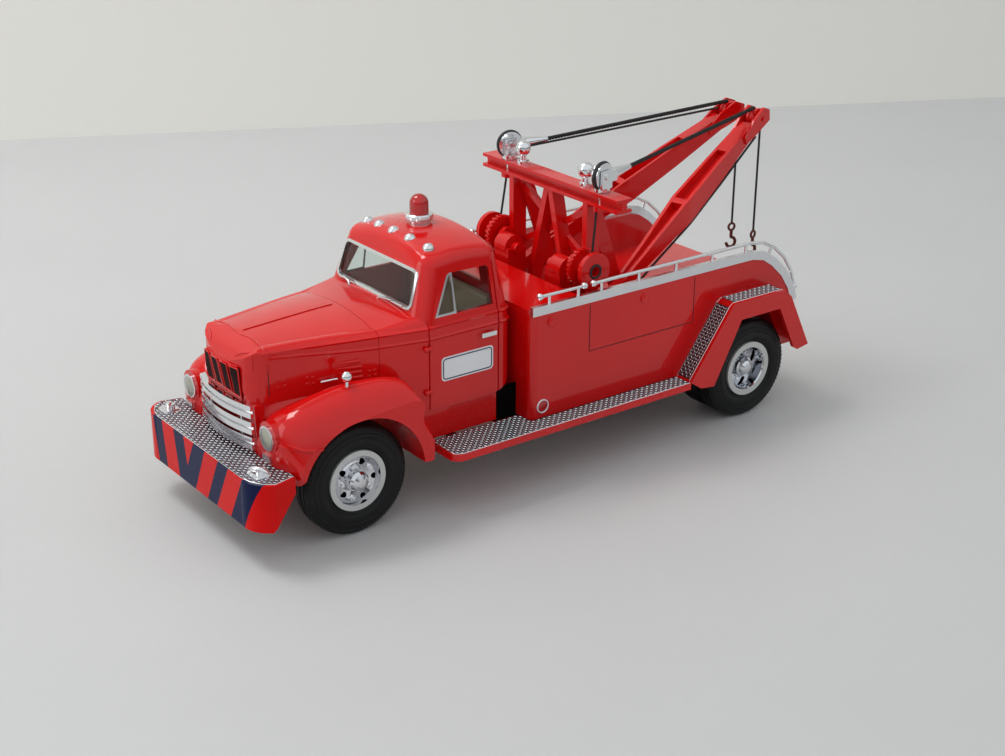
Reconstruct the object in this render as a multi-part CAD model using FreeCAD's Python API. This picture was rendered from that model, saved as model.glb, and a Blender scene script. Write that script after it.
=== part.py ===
import FreeCAD
import Part
import math
import os

# A die-cast model of a twin-boom tow truck, in millimetres.
# X runs forward, Y to the truck's left, Z up. Z = 0 is the ground and X = 0 the middle of its length.

V = FreeCAD.Vector

# wheels and axles
wheelbase = 134.7
front_axle_x = 65.7
rear_axle_x = front_axle_x - wheelbase
rear_overhang = 20.4
body_rear_x = rear_axle_x - rear_overhang
tyre_radius = 15.3
tyre_width = 8.0
tyre_flats = 48
rim_radius = 8.7
rim_depth = 7.4
dual_gap = 1.2
front_wheel_face_y = 27.2
rear_wheel_face_y = 32.0
axle_radius = 1.1
running_fit = 0.08

# ladder frame
rail_y = 9.0
rail_width = 2.4
rail_bottom_z = 17.4
rail_height = 4.2
rail_web = 1.0
rail_flange = 0.9
frame_front_x = 84.0
frame_rear_x = body_rear_x + 2.9

# cab
cab_wall = 1.3
cab_rear_x = 12.8
cab_half_width = 23.5
belt_z = 50.6
skirt_z = 18.3
cowl_x = 54.0
skirt_step = 1.0
belt_low_z = 47.2
belt_high_z = 50.2
belt_bead = 0.35
door_front_x = 40.6
door_rear_x = 18.2
door_bottom_z = 27.2
roof_z = 70.9
eaves_z = 65.0
roof_crown_radius = 62.0
roof_edge_radius = 4.4
groove = 0.45

# hood and nose
hood_wall = 1.4
hood_seam = 0.15
hood_rear_half = 20.3
hood_front_half = 14.2
hood_nose_x = 82.0
hood_low_z = 36.4
slot_pitch = 3.5
slot_width = 2.6

# front fenders
fender_y = 31.0
fender_inner_y = 13.0
fender_top_z = 41.6
arch_radius = 18.4

# bumper
bumper_front_x = 97.3
bumper_top_z = 23.6
bumper_height = 13.0
bumper_straight_y = 23.3
bumper_half_width = 31.8
bumper_depth = 11.5
bumper_rear_x = bumper_front_x - bumper_depth

# running boards
board_top_z = 18.3
board_thickness = 2.0
board_y = 35.4
board_front_x = 40.9
board_rear_x = rear_axle_x + 26.5

# tow body
body_front_x = 10.9
body_y = 28.7
body_wall = 1.5
body_bottom_z = 18.1
body_top_z = 48.4
deck_z = 49.9
deck_rear_x = -7.5
box_inner_y = 26.6
bed_z = 37.6
bed_thickness = 1.5

# rear fenders
rear_fender_y = 35.4
rear_fender_top_z = 39.2

# mast
mast_x = -18.8
post_y = 16.8
post_thickness = 2.0
post_depth = 4.8
beam_half_length = 30.6
beam_top_z = 76.3
beam_height = 3.9
beam_width = 5.2

# booms: swing axis, and the angles they stand at as parked
boom_pivot_y = 21.0
boom_foot_z = 41.2
boom_rise_deg = 29.0
boom_head_y = 5.4
boom_length = 83.7
boom_plate = 1.0

# winches
winch_x = -14.4
winch_z = 55.0
winch_disc_y = 24.4
winch_disc_radius = 5.2

line_radius = 0.4

shapes = {}


def box(x0, x1, y0, y1, z0, z1):
    corner = V(min(x0, x1), min(y0, y1), min(z0, z1))
    return Part.makeBox(abs(x1 - x0), abs(y1 - y0), abs(z1 - z0), corner)


def cylinder(radius, start, end):
    start = V(*start)
    axis = V(*end) - start
    return Part.makeCylinder(radius, axis.Length, start, axis)


def cone(radius_start, radius_end, start, end):
    start = V(*start)
    axis = V(*end) - start
    return Part.makeCone(radius_start, radius_end, axis.Length, start, axis)


def ball(radius, centre):
    return Part.makeSphere(radius, V(*centre))


def side_plate(points, y0, y1):
    """A plate cut to an outline of (x, z) points, from y0 to y1."""
    wire = Part.makePolygon([V(x, y0, z) for x, z in points] + [V(points[0][0], y0, points[0][1])])
    return Part.Face(wire).extrude(V(0, y1 - y0, 0))


def front_plate(points, x0, x1):
    """A plate cut to an outline of (y, z) points, from x0 to x1."""
    wire = Part.makePolygon([V(x0, y, z) for y, z in points] + [V(x0, points[0][0], points[0][1])])
    return Part.Face(wire).extrude(V(x1 - x0, 0, 0))


def plan_plate(points, z0, z1):
    """A plate cut to an outline of (x, y) points, from z0 to z1."""
    wire = Part.makePolygon([V(x, y, z0) for x, y in points] + [V(points[0][0], points[0][1], z0)])
    return Part.Face(wire).extrude(V(0, 0, z1 - z0))


def fuse(*solids):
    whole = solids[0].multiFuse(list(solids[1:])) if len(solids) > 1 else solids[0]
    return whole.removeSplitter()


def mirrored(shape):
    return shape.mirror(V(0, 0, 0), V(0, 1, 0))


def pair(shape):
    """The shape and its mirror image on the other side, as separate solids."""
    return Part.makeCompound(shape.Solids + mirrored(shape).Solids)


def bar(start, end, width, depth, across):
    """A straight bar between two points, its depth measured along the vector 'across'."""
    start = V(*start)
    end = V(*end)
    along = (end - start).normalize()
    side = V(*across)
    side = (side - along * side.dot(along)).normalize()
    up = along.cross(side)
    corners = []
    for a, b in ((-1, -1), (1, -1), (1, 1), (-1, 1)):
        corners.append(start + side * (a * depth / 2) + up * (b * width / 2))
    return Part.Face(Part.makePolygon(corners + corners[:1])).extrude(end - start)


def rounded_rectangle(x0, x1, half_width, radius, z):
    """A closed wire in plan with rounded corners, symmetric about Y = 0."""
    r = radius
    w = half_width
    k = r * (1 - math.sqrt(0.5))
    edges = [
        Part.makeLine(V(x0 + r, -w, z), V(x1 - r, -w, z)),
        Part.Arc(V(x1 - r, -w, z), V(x1 - k, -w + k, z), V(x1, -w + r, z)).toShape(),
        Part.makeLine(V(x1, -w + r, z), V(x1, w - r, z)),
        Part.Arc(V(x1, w - r, z), V(x1 - k, w - k, z), V(x1 - r, w, z)).toShape(),
        Part.makeLine(V(x1 - r, w, z), V(x0 + r, w, z)),
        Part.Arc(V(x0 + r, w, z), V(x0 + k, w - k, z), V(x0, w - r, z)).toShape(),
        Part.makeLine(V(x0, w - r, z), V(x0, -w + r, z)),
        Part.Arc(V(x0, -w + r, z), V(x0 + k, -w + k, z), V(x0 + r, -w, z)).toShape(),
    ]
    return Part.Wire(edges)


# wheels

def ring_of_flats(radius, y):
    """A closed wire round the axle with tyre_flats straight sides, one of them flat on the ground."""
    reach = radius / math.cos(math.pi / tyre_flats)
    points = []
    for k in range(tyre_flats + 1):
        angle = 2 * math.pi * (k + 0.5) / tyre_flats
        points.append(V(reach * math.sin(angle), y, reach * math.cos(angle)))
    return Part.makePolygon(points)


def tyre(outer_face_y):
    """One tyre, its outer wall facing +Y, made of flats so that six tyres stay light."""
    mid = outer_face_y - tyre_width / 2
    h = tyre_width / 2
    r = tyre_radius
    section = [(-h + 0.7, rim_radius + 0.1), (-h, r - 4.4), (-h + 0.6, r - 1.2), (-h + 1.7, r), (h - 1.7, r),
               (h - 0.6, r - 1.2), (h, r - 4.4), (h - 0.7, rim_radius + 0.1)]
    body = Part.makeLoft([ring_of_flats(radius, mid + y) for y, radius in section], True, True)
    bore = Part.makeLoft([ring_of_flats(rim_radius - 0.35, mid + y) for y in (-h - 1, h + 1)], True, True)
    return body.cut(bore)


def front_rim():
    """A disc wheel with a flat flange, a dished web and a domed hub cap over the shaft's end."""
    face = front_wheel_face_y
    flange = rim_radius - 0.35
    section = [(axle_radius, face - 5.0), (axle_radius, face + 0.3), (0, face + 0.3), (0, face + 1.9),
               (1.2, face + 1.8), (2.2, face + 1.35), (2.8, face + 0.5), (3.0, face - 1.2), (5.3, face - 0.4),
               (6.4, face - 1.6), (6.9, face), (flange, face), (flange, face - rim_depth),
               (7.3, face - rim_depth), (7.0, face - 3.4), (3.2, face - 3.0), (3.0, face - 5.0)]
    points = [V(0, y, radius) for radius, y in section]
    rim = Part.Face(Part.makePolygon(points + points[:1])).revolve(V(0, 0, 0), V(0, 1, 0), 360)
    for i in range(5):
        angle = math.radians(72 * i + 36)
        x = 5.1 * math.cos(angle)
        z = 5.1 * math.sin(angle)
        rim = rim.cut(cylinder(0.85, (x, face - 6, z), (x, face + 2, z)))
    return rim


def rear_rim():
    """A pair of rims back to back, deep dished on the outside, with hand holes in the web."""
    face = rear_wheel_face_y
    flange = rim_radius - 0.35
    inner = face - 2 * tyre_width - dual_gap + 0.6
    section = [(axle_radius, face - 9.5), (axle_radius, face - 0.9), (0, face - 0.9), (0, face - 0.1),
               (1.4, face - 0.25), (2.2, face - 0.8), (2.5, face - 1.6), (3.1, face - 1.8), (3.4, face - 4.6),
               (5.7, face - 5.4), (6.4, face - 0.6), (6.7, face), (flange, face), (flange, inner),
               (7.2, inner), (7.0, face - 7.2), (3.4, face - 7.0), (3.2, face - 9.5)]
    points = [V(0, y, radius) for radius, y in section]
    rim = Part.Face(Part.makePolygon(points + points[:1])).revolve(V(0, 0, 0), V(0, 1, 0), 360)
    for i in range(6):
        angle = math.radians(60 * i)
        x = 4.6 * math.cos(angle)
        z = 4.6 * math.sin(angle)
        rim = rim.cut(cylinder(0.75, (x, face - 9, z), (x, face - 3, z)))
    return rim


def at_axle(shape, x):
    moved = shape.copy()
    moved.translate(V(x, 0, tyre_radius))
    return moved


front_tyre = at_axle(tyre(front_wheel_face_y + 0.5), front_axle_x)
outer_tyre = at_axle(tyre(rear_wheel_face_y + 0.4), rear_axle_x)
inner_tyre = at_axle(tyre(rear_wheel_face_y + 0.4 - tyre_width - dual_gap), rear_axle_x)
shapes["front_tyres"] = pair(front_tyre)
shapes["rear_tyres"] = pair(Part.makeCompound([outer_tyre, inner_tyre]))
shapes["front_rims"] = pair(at_axle(front_rim(), front_axle_x))
shapes["rear_rims"] = pair(at_axle(rear_rim(), rear_axle_x))
shapes["front_axle_shaft"] = cylinder(axle_radius, (front_axle_x, -front_wheel_face_y, tyre_radius),
                                      (front_axle_x, front_wheel_face_y, tyre_radius))
shapes["rear_axle_shaft"] = cylinder(axle_radius, (rear_axle_x, 1 - rear_wheel_face_y, tyre_radius),
                                     (rear_axle_x, rear_wheel_face_y - 1, tyre_radius))

# chassis

rail_top_z = rail_bottom_z + rail_height
half_rail = rail_width / 2
rail = box(frame_rear_x, frame_front_x, rail_y - half_rail, rail_y + half_rail, rail_bottom_z, rail_top_z)
channel = box(frame_rear_x - 1, frame_front_x + 1, rail_y - half_rail, rail_y + half_rail - rail_web,
              rail_bottom_z + rail_flange, rail_top_z - rail_flange)
shapes["frame_rails"] = pair(rail.cut(channel))
web_y = rail_y + half_rail - rail_web
members = []
for x in (82.0, 43.8, 12.0, -14.0, -45.0, frame_rear_x + 2.5):
    members.append(box(x - 1.5, x + 1.5, -web_y, web_y, rail_bottom_z + rail_flange, rail_top_z - rail_flange))
for x in (33.0, 4.0, -36.0):
    reach = cab_half_width if x > body_front_x else body_y
    for side in (-1, 1):
        members.append(box(x - 1.2, x + 1.2, side * (rail_y + half_rail), side * reach,
                           rail_bottom_z, body_bottom_z - 0.1))
shapes["cross_members"] = Part.makeCompound(members)


def leaf_spring(x, length, y):
    """A pack of bent leaves under the frame, with the block that carries the axle below it."""
    pack = []
    eye_z = rail_bottom_z - 1.0
    low_z = tyre_radius + 1.45
    for leaf in range(3):
        half = length / 2 - 3.2 * leaf
        drop = 0.55 * leaf
        rise = (eye_z - low_z) * (half / (length / 2)) ** 2
        top = Part.Arc(V(x - half, y, low_z + rise - drop), V(x, y, low_z - drop),
                       V(x + half, y, low_z + rise - drop)).toShape()
        lower = Part.Arc(V(x + half, y, low_z + rise - drop - 0.6), V(x, y, low_z - drop - 0.6),
                         V(x - half, y, low_z + rise - drop - 0.6)).toShape()
        ends = [Part.makeLine(V(x + half, y, low_z + rise - drop), V(x + half, y, low_z + rise - drop - 0.6)),
                Part.makeLine(V(x - half, y, low_z + rise - drop - 0.6), V(x - half, y, low_z + rise - drop))]
        face = Part.Face(Part.Wire([top, ends[0], lower, ends[1]]))
        pack.append(face.extrude(V(0, 2.0, 0)))
    for end in (-1, 1):
        pack.append(box(x + end * length / 2 - 1.1, x + end * length / 2 + 1.1, y, y + 2.0,
                        eye_z - 1.1, rail_bottom_z))
    pack.append(box(x - 2.4, x + 2.4, y - 0.1, y + 2.1, tyre_radius - 2.2, low_z))
    block = fuse(*pack)
    bore = cylinder(axle_radius + running_fit, (x, y - 1, tyre_radius), (x, y + 4, tyre_radius))
    return block.cut(bore)


front_spring = leaf_spring(front_axle_x, 26.0, rail_y - 1.0)
rear_spring = leaf_spring(rear_axle_x, 30.0, rail_y - 1.0)
shapes["leaf_springs"] = Part.makeCompound(pair(front_spring).Solids + pair(rear_spring).Solids)

beam_axle = box(front_axle_x - 1.7, front_axle_x + 1.7, -7.7, 7.7, tyre_radius - 2.0, tyre_radius + 1.9)
shapes["front_axle_beam"] = beam_axle.cut(cylinder(axle_radius + running_fit,
                                                   (front_axle_x, -9, tyre_radius), (front_axle_x, 9, tyre_radius)))
housing = fuse(cylinder(1.9, (rear_axle_x, -7.8, tyre_radius), (rear_axle_x, 7.8, tyre_radius)),
               ball(4.0, (rear_axle_x, 0, tyre_radius)).common(
                   box(rear_axle_x - 5, rear_axle_x + 5, -3.2, 3.2, tyre_radius - 5, tyre_radius + 5)),
               cone(2.4, 1.5, (rear_axle_x, 0, tyre_radius), (rear_axle_x + 7.0, 0, tyre_radius)))
shapes["rear_axle_housing"] = housing.cut(cylinder(axle_radius + running_fit, (rear_axle_x, -9, tyre_radius),
                                                   (rear_axle_x, 9, tyre_radius)))

shapes["engine_block"] = fuse(box(56.0, 80.0, -5.2, 5.2, 19.6, 39.0), box(46.0, 56.0, -3.4, 3.4, 13.8, 27.0))
shapes["drive_shaft"] = cylinder(1.1, (46.0, 0, tyre_radius), (rear_axle_x + 7.0, 0, tyre_radius))
tank = box(-12.0, 6.0, 10.6, 19.0, 9.8, 16.4)
tank = tank.makeFillet(1.8, [e for e in tank.Edges if abs(e.tangentAt(e.FirstParameter).x) > 0.9])
shapes["fuel_tank"] = fuse(tank, box(-9.0, -7.5, 10.2, 11.8, 15.8, 19.5), box(0.6, 2.1, 10.2, 11.8, 15.8, 19.5))
muffler = cylinder(2.0, (30.0, -14.0, 14.2), (8.0, -14.0, 14.2))
pipe = fuse(muffler, cylinder(0.8, (50.0, -14.0, 14.2), (30.0, -14.0, 14.2)),
            cylinder(0.8, (8.0, -14.0, 14.2), (-40.0, -14.0, 14.2)),
            box(22.0, 24.0, -14.6, -10.2, 14.5, 18.9))
shapes["exhaust_pipe"] = pipe

# cab shell


def belt_rows(low_line_z, high_line_z, bead):
    """Heights and outsets of the two raised lines on the side of cab and hood; flat where bead is 0."""
    if bead == 0:
        return [(low_line_z - 0.5, 0.0), (low_line_z, 0.0), (low_line_z + 0.5, 0.0), (high_line_z - 0.5, 0.0),
                (high_line_z, 0.0), (high_line_z + 0.5, -0.5)]
    return [(low_line_z - 0.5, 0.0), (low_line_z, bead), (low_line_z + 0.5, -0.05), (high_line_z - 0.5, -0.15),
            (high_line_z, bead - 0.25), (high_line_z + 0.5, -0.7)]


def hood_section(x, half, low_line_z, high_line_z, shoulder_z, top_z, low_z, bead):
    """One crosswise section of hood or cowl: upright side, two raised lines, rolled shoulder, low crown."""
    side = [(half, low_z)] + [(half + out, z) for z, out in belt_rows(low_line_z, high_line_z, bead)]
    crown_y = half - 3.4
    roll = ((half - 0.7 + crown_y) / 2 + 0.3, (high_line_z + 0.5 + shoulder_z) / 2 + 0.25)
    left = [V(x, -y, z) for y, z in side]
    right = [V(x, y, z) for y, z in side]
    edges = [Part.makeLine(left[n], left[n + 1]) for n in range(6)]
    edges.append(Part.Arc(left[6], V(x, -roll[0], roll[1]), V(x, -crown_y, shoulder_z)).toShape())
    edges.append(Part.Arc(V(x, -crown_y, shoulder_z), V(x, 0, top_z), V(x, crown_y, shoulder_z)).toShape())
    edges.append(Part.Arc(V(x, crown_y, shoulder_z), V(x, roll[0], roll[1]), right[6]).toShape())
    edges = edges + [Part.makeLine(right[6 - n], right[5 - n]) for n in range(6)]
    edges.append(Part.makeLine(right[0], left[0]))
    return Part.Wire(edges)


def tub_form(i):
    """The cab below the windows, pulled in by i: rounded rear corners and the two raised lines."""
    rows = [(door_bottom_z - 6.0, 0.0)] + belt_rows(belt_low_z, belt_high_z, belt_bead) + [(belt_z + 1.8, -1.0)]
    if i > 0:
        rows = [(door_bottom_z - 6.0, 0.0), (belt_z + 1.8 - i, 0.0)]
    wires = [rounded_rectangle(cab_rear_x + i - out, door_front_x, cab_half_width - i + out, 4.6 - i, z)
             for z, out in rows]
    low = door_bottom_z + i
    side = side_plate([(cab_rear_x - 2, 60), (60, 60), (60, low), (door_rear_x + i, low),
                       (cab_rear_x + 2.1 + i, low + 1.7), (cab_rear_x + 0.4 + i, low + 4.4),
                       (cab_rear_x - 2, low + 7.0)], -30, 30)
    return Part.makeLoft(wires, True, True).common(side)


def skirt_form(i):
    """The narrower band below the doors, with the cab's rear foot, pulled in by i."""
    half = cab_half_width - skirt_step - i
    foot_half = cab_half_width - 3.0 - i
    skirt = box(door_rear_x + i, 43.4 - i, -half, half, skirt_z - 1, door_bottom_z + 6.0)
    rear_foot = box(cab_rear_x + 0.5 + i, door_rear_x + 4.0, -foot_half, foot_half,
                    rail_top_z - 1, door_bottom_z + 8.0)
    return fuse(skirt, rear_foot)


def cowl_form(i):
    """The arched cowl that carries the hood's line back to the windshield, pulled in by i."""
    bead = belt_bead if i == 0 else 0
    low_line = belt_low_z - i
    high_line = belt_high_z - i
    front = hood_section(cowl_x - i, hood_rear_half - i, low_line, high_line, 51.4 - i, 53.4 - i, 22.0, bead)
    middle = hood_section(door_front_x, cab_half_width - i, low_line, high_line, 53.2 - i, 54.2 - i, 22.0, bead)
    rear = hood_section(34.0 + i, cab_half_width - i, low_line, high_line, 53.4 - i, 54.4 - i, 22.0, bead)
    lower = side_plate([(30, 60), (60, 60), (60, 32.0 + i), (47.0 - i, 31.0 + i), (44.4 - i, door_bottom_z + i),
                        (30, door_bottom_z + i)], -30, 30)
    return Part.makeLoft([rear, middle, front], True, True).common(lower)


def glasshouse_form(i):
    """The tapering window band, with flat faces, pulled in by i."""
    return Part.makeLoft([rounded_rectangle(cab_rear_x + i, 44.4 - i, 23.3 - i, 4.6, belt_z - 2.0),
                          rounded_rectangle(cab_rear_x + 2.2 + i, 39.4 - i, 20.0 - i, 4.6, eaves_z)], True, True)


def roof_form(i):
    """The crowned roof above the windows, rounded all round, pulled in by i."""
    wires = [rounded_rectangle(cab_rear_x + 2.2 + i, 39.4 - i, 20.0 - i, 4.6, eaves_z),
             rounded_rectangle(cab_rear_x + 4.4 + i, 37.2 - i, 18.2 - i, 4.6, eaves_z + 9)]
    block = Part.makeLoft(wires, True, True)
    centre = V((cab_rear_x + 41.6) / 2, 0, roof_z - i - roof_crown_radius)
    crowned = block.common(Part.makeSphere(roof_crown_radius, centre))
    rim = []
    for face in crowned.Faces:
        if face.Surface.TypeId == "Part::GeomSphere":
            rim = rim + face.Edges
    return crowned.makeFillet(roof_edge_radius - i, rim)


cab_forms = (tub_form, skirt_form, cowl_form, glasshouse_form, roof_form)


windshield_side = [(16.4, 54.0), (17.6, 54.35), (18.3, 55.4), (17.65, 62.6), (17.1, 63.9), (15.8, 64.4)]
windshield = windshield_side + [(-y, z) for y, z in windshield_side[::-1]]
side_window = [(38.0, 52.3), (33.0, 62.4), (32.2, 63.0), (20.3, 62.8), (19.5, 62.0), (19.3, 52.3)]
rear_window = [(-10.5, 54.6), (10.5, 54.6), (10.5, 61.6), (-10.5, 61.6)]


def shrunk(points, amount):
    """The same outline pulled towards its middle by an even amount."""
    face = Part.Face(Part.makePolygon([V(a, b, 0) for a, b in points] + [V(points[0][0], points[0][1], 0)]))
    wire = face.OuterWire.makeOffset2D(-amount, 2)
    return [(v.Point.x, v.Point.y) for v in wire.OrderedVertexes]


front_cut = front_plate(windshield, 34.0, 52.0)
door_cut = side_plate(side_window, -26.0, 26.0)
rear_cut = front_plate(rear_window, 10.0, 20.0)
cab_outer = fuse(*[form(0) for form in cab_forms])
cab_room = fuse(*[form(cab_wall) for form in cab_forms])
cab_shell = cab_outer.cut(cab_room)
cab_shell = cab_shell.cut(front_cut).cut(door_cut).cut(rear_cut)
cab_shell = cab_shell.cut(box(0, 60, -30, 30, 0, skirt_z))
frame_half = rail_y + rail_width / 2 + 0.3
cab_shell = cab_shell.cut(box(0, 60, -frame_half, frame_half, 0, rail_top_z))
groove_in = cab_half_width - groove
groove_line = [(groove_in, door_bottom_z - 1), (groove_in, 49.9), (groove_in - 0.7, 51.0), (groove_in - 3.2, 63.6),
               (30, 63.6), (30, door_bottom_z - 1)]
for x in (door_front_x, door_rear_x):
    top = 52.0 if x == door_front_x else 64.0
    line = front_plate(groove_line, x - groove / 2, x + groove / 2).common(box(0, 60, 0, 30, 0, top))
    cab_shell = cab_shell.cut(line).cut(mirrored(line))
shapes["cab_shell"] = cab_shell

glass_band = glasshouse_form(0.4).cut(glasshouse_form(1.0))
panes = []
for opening in (front_cut, door_cut, rear_cut):
    panes = panes + glass_band.common(opening).Solids
shapes["cab_glazing"] = Part.makeCompound(panes)

trim_band = glasshouse_form(-0.3).cut(glasshouse_form(0.4))
trim_ring = front_cut.cut(front_plate(shrunk(windshield, 0.8), 34.0, 52.0))
windshield_trim = trim_band.common(trim_ring)
vent = [(38.0, 52.3), (33.0, 62.4), (32.2, 63.0), (31.2, 62.98), (31.2, 52.3)]
vent_ring = side_plate(vent, -26, 26).cut(side_plate(shrunk(vent, 0.6), -26, 26))
frames = glasshouse_form(0).cut(glasshouse_form(0.4)).common(vent_ring)
shapes["window_trims"] = Part.makeCompound(windshield_trim.Solids + frames.Solids)

floor = box(cab_rear_x, 42.0, -cab_half_width, cab_half_width, rail_top_z, rail_top_z + 1.2)
shapes["cab_floor"] = floor.common(skirt_form(cab_wall))
floor_top = rail_top_z + 1.2
seat_half = 17.6
seat_base = box(15.6, 27.0, -seat_half, seat_half, floor_top, 36.6)
seat_edges = [e for e in seat_base.Edges if e.BoundBox.ZMin > 36 and e.BoundBox.YLength > 9]
seat_base = seat_base.makeFillet(1.2, seat_edges)
seat_back = side_plate([(15.2, 36.0), (19.4, 36.0), (17.9, 52.4), (14.9, 52.4)], -seat_half, seat_half)
back_edges = [e for e in seat_back.Edges if e.BoundBox.ZMin > 52 and e.BoundBox.YLength > 9]
seat_back = seat_back.makeFillet(1.0, back_edges)
shapes["seat"] = fuse(seat_base, seat_back)
dash = side_plate([(38.6, 40.5), (38.0, 47.6), (40.4, 50.0), (47.5, 50.6), (cowl_x - cab_wall, 49.0),
                   (cowl_x - cab_wall, 40.5)], -cab_half_width + cab_wall, cab_half_width - cab_wall)
dash = dash.common(cab_room)
wheel_centre = V(34.2, 9.6, 46.6)
column_foot = V(40.6, 9.6, 41.6)
wheel_axis = (wheel_centre - column_foot).normalize()
steering = Part.makeTorus(4.6, 0.42, wheel_centre, wheel_axis)
spoke = cylinder(0.35, (34.2, 9.6 - 4.6, 46.6), (34.2, 9.6 + 4.6, 46.6))
column = cylinder(0.55, tuple(column_foot), tuple(wheel_centre + wheel_axis * 0.4))
shapes["steering_wheel"] = fuse(steering, spoke, column)
shapes["dashboard"] = dash.cut(shapes["steering_wheel"])

handle = fuse(box(19.6, 24.4, cab_half_width + 0.5, cab_half_width + 1.2, 44.3, 45.5),
              box(19.8, 20.8, cab_half_width - 0.0, cab_half_width + 0.7, 44.4, 45.4),
              box(23.2, 24.2, cab_half_width - 0.0, cab_half_width + 0.7, 44.4, 45.4))
shapes["door_handles"] = pair(handle)

# hood and nose


def hood_body(inset, low_z):
    """The hood's outer form, pulled in by inset: lofted along X, then trimmed to the nose."""
    i = inset
    drop = i * 0.8
    rows = [(cowl_x + hood_seam, hood_rear_half, belt_low_z, belt_high_z, 51.4, 53.4, belt_bead),
            (68.0, 17.3, 48.0, 50.3, 51.6, 52.9, 0.3),
            (hood_nose_x, hood_front_half, 48.9, 50.3, 51.3, 52.1, 0.12),
            (94.0, 12.6, 49.2, 50.2, 50.9, 51.6, 0.05)]
    wires = [hood_section(x, half - i, low - drop, high - drop, shoulder - i, top - i, low_z, bead)
             for x, half, low, high, shoulder, top, bead in rows]
    block = Part.makeLoft(wires, True, False)
    half = hood_front_half - i
    turn_x = hood_nose_x + 0.6 - i
    plan = Part.Wire([
        Part.makeLine(V(40, -half - 12, 0), V(turn_x, -half, 0)),
        Part.Arc(V(turn_x, -half, 0), V(86.2 - i, -half + 1.9, 0), V(88.0 - i, -half + 5.4, 0)).toShape(),
        Part.Arc(V(88.0 - i, -half + 5.4, 0), V(89.0 - i, 0, 0), V(88.0 - i, half - 5.4, 0)).toShape(),
        Part.Arc(V(88.0 - i, half - 5.4, 0), V(86.2 - i, half - 1.9, 0), V(turn_x, half, 0)).toShape(),
        Part.makeLine(V(turn_x, half, 0), V(40, half + 12, 0)),
        Part.makeLine(V(40, half + 12, 0), V(40, -half - 12, 0))])
    nose_plan = Part.Face(plan).extrude(V(0, 0, 80))
    brow = Part.BSplineCurve()
    brow.interpolate([V(79.0 - i, -40, 53.0 - i), V(83.8 - i, -40, 51.6 - i), V(87.2 - i, -40, 49.4 - i),
                      V(88.8 - i, -40, 46.6 - i), V(88.6 - i, -40, 43.6)])
    profile = Part.Wire([
        Part.makeLine(V(40, -40, low_z - 2), V(40, -40, 60)), Part.makeLine(V(40, -40, 60), V(79.0 - i, -40, 60)),
        Part.makeLine(V(79.0 - i, -40, 60), V(79.0 - i, -40, 53.0 - i)), brow.toShape(),
        Part.makeLine(V(88.6 - i, -40, 43.6), V(86.9 - i, -40, low_z - 2)),
        Part.makeLine(V(86.9 - i, -40, low_z - 2), V(40, -40, low_z - 2))])
    nose_side = Part.Face(profile).extrude(V(0, 80, 0))
    return block.common(nose_plan).common(nose_side)


hood = hood_body(0, hood_low_z)
hood_cavity = hood_body(hood_wall, hood_low_z - 2)
crease = hood_body(-0.25, hood_low_z).common(box(cowl_x + 1.6, hood_nose_x, -0.3, 0.3, 48, 60))
grille_panel = hood_body(-0.35, hood_low_z).common(box(85.6, 92, -8.2, 8.2, hood_low_z, 46.4))
hood = fuse(hood, crease, grille_panel).cut(hood_cavity)
for n in range(4):
    y = slot_pitch * (n - 1.5)
    hood = hood.cut(box(84.0, 92.0, y - slot_width / 2, y + slot_width / 2, 37.6, 45.2))
shapes["hood"] = hood

# front fenders and the nose panel between them

lamp_y = 20.7
lamp_z = 31.0
lamp_radius = 3.3


def valley_drop(x, y):
    """How far the fender's top lies below its crown beside the hood and cowl."""
    side_y = hood_rear_half + (cowl_x - x) * (hood_rear_half - hood_front_half) / (hood_nose_x - cowl_x)
    away = min(max((y - side_y) / 6.5, 0.0), 1.0)
    return 4.0 * (1.0 - away) ** 2


def fender_profile(y, front_x, rear_x, top_z, low_z, nose_low_z):
    """A closed side outline at one Y: highest behind the axle, falling gently to the lamp."""
    crown = [(front_x - 2.8, -6.0), (front_x - 10.0, -2.7), (front_x - 19.0, -0.7), (front_x - 28.0, 0.0),
             (front_x - 36.0, -1.2), (rear_x + 2.8, -6.2)]
    points = [V(front_x - 2.0, y, nose_low_z), V(front_x - 0.2, y, nose_low_z + (top_z - nose_low_z) * 0.42)]
    points = points + [V(x, y, top_z + fall - valley_drop(x, y)) for x, fall in crown]
    points = points + [V(rear_x + 0.3, y, (top_z + low_z) / 2 - 2.0), V(rear_x, y, low_z)]
    curve = Part.BSplineCurve()
    curve.interpolate(points)
    closing = Part.makeLine(points[-1], points[0])
    return Part.Wire([curve.toShape(), closing])


def fender_body(inset):
    i = inset
    rows = [(fender_inner_y, 86.6, 44.6, fender_top_z), (17.0, 87.6, 44.6, fender_top_z),
            (21.0, 88.0, 44.6, fender_top_z), (24.6, 87.6, 44.5, fender_top_z - 0.2),
            (27.4, 86.4, 44.4, fender_top_z - 1.7), (29.6, 84.9, 44.4, fender_top_z - 4.3),
            (fender_y, 83.4, 44.8, fender_top_z - 6.8)]
    wires = []
    for y, front, rear, top in rows:
        y_in = y - i if y > 30 else y
        wires.append(fender_profile(y_in, front - i, rear + i, top - i, skirt_z - 1.6, 19.6))
    return Part.makeLoft(wires, True, False)


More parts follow.
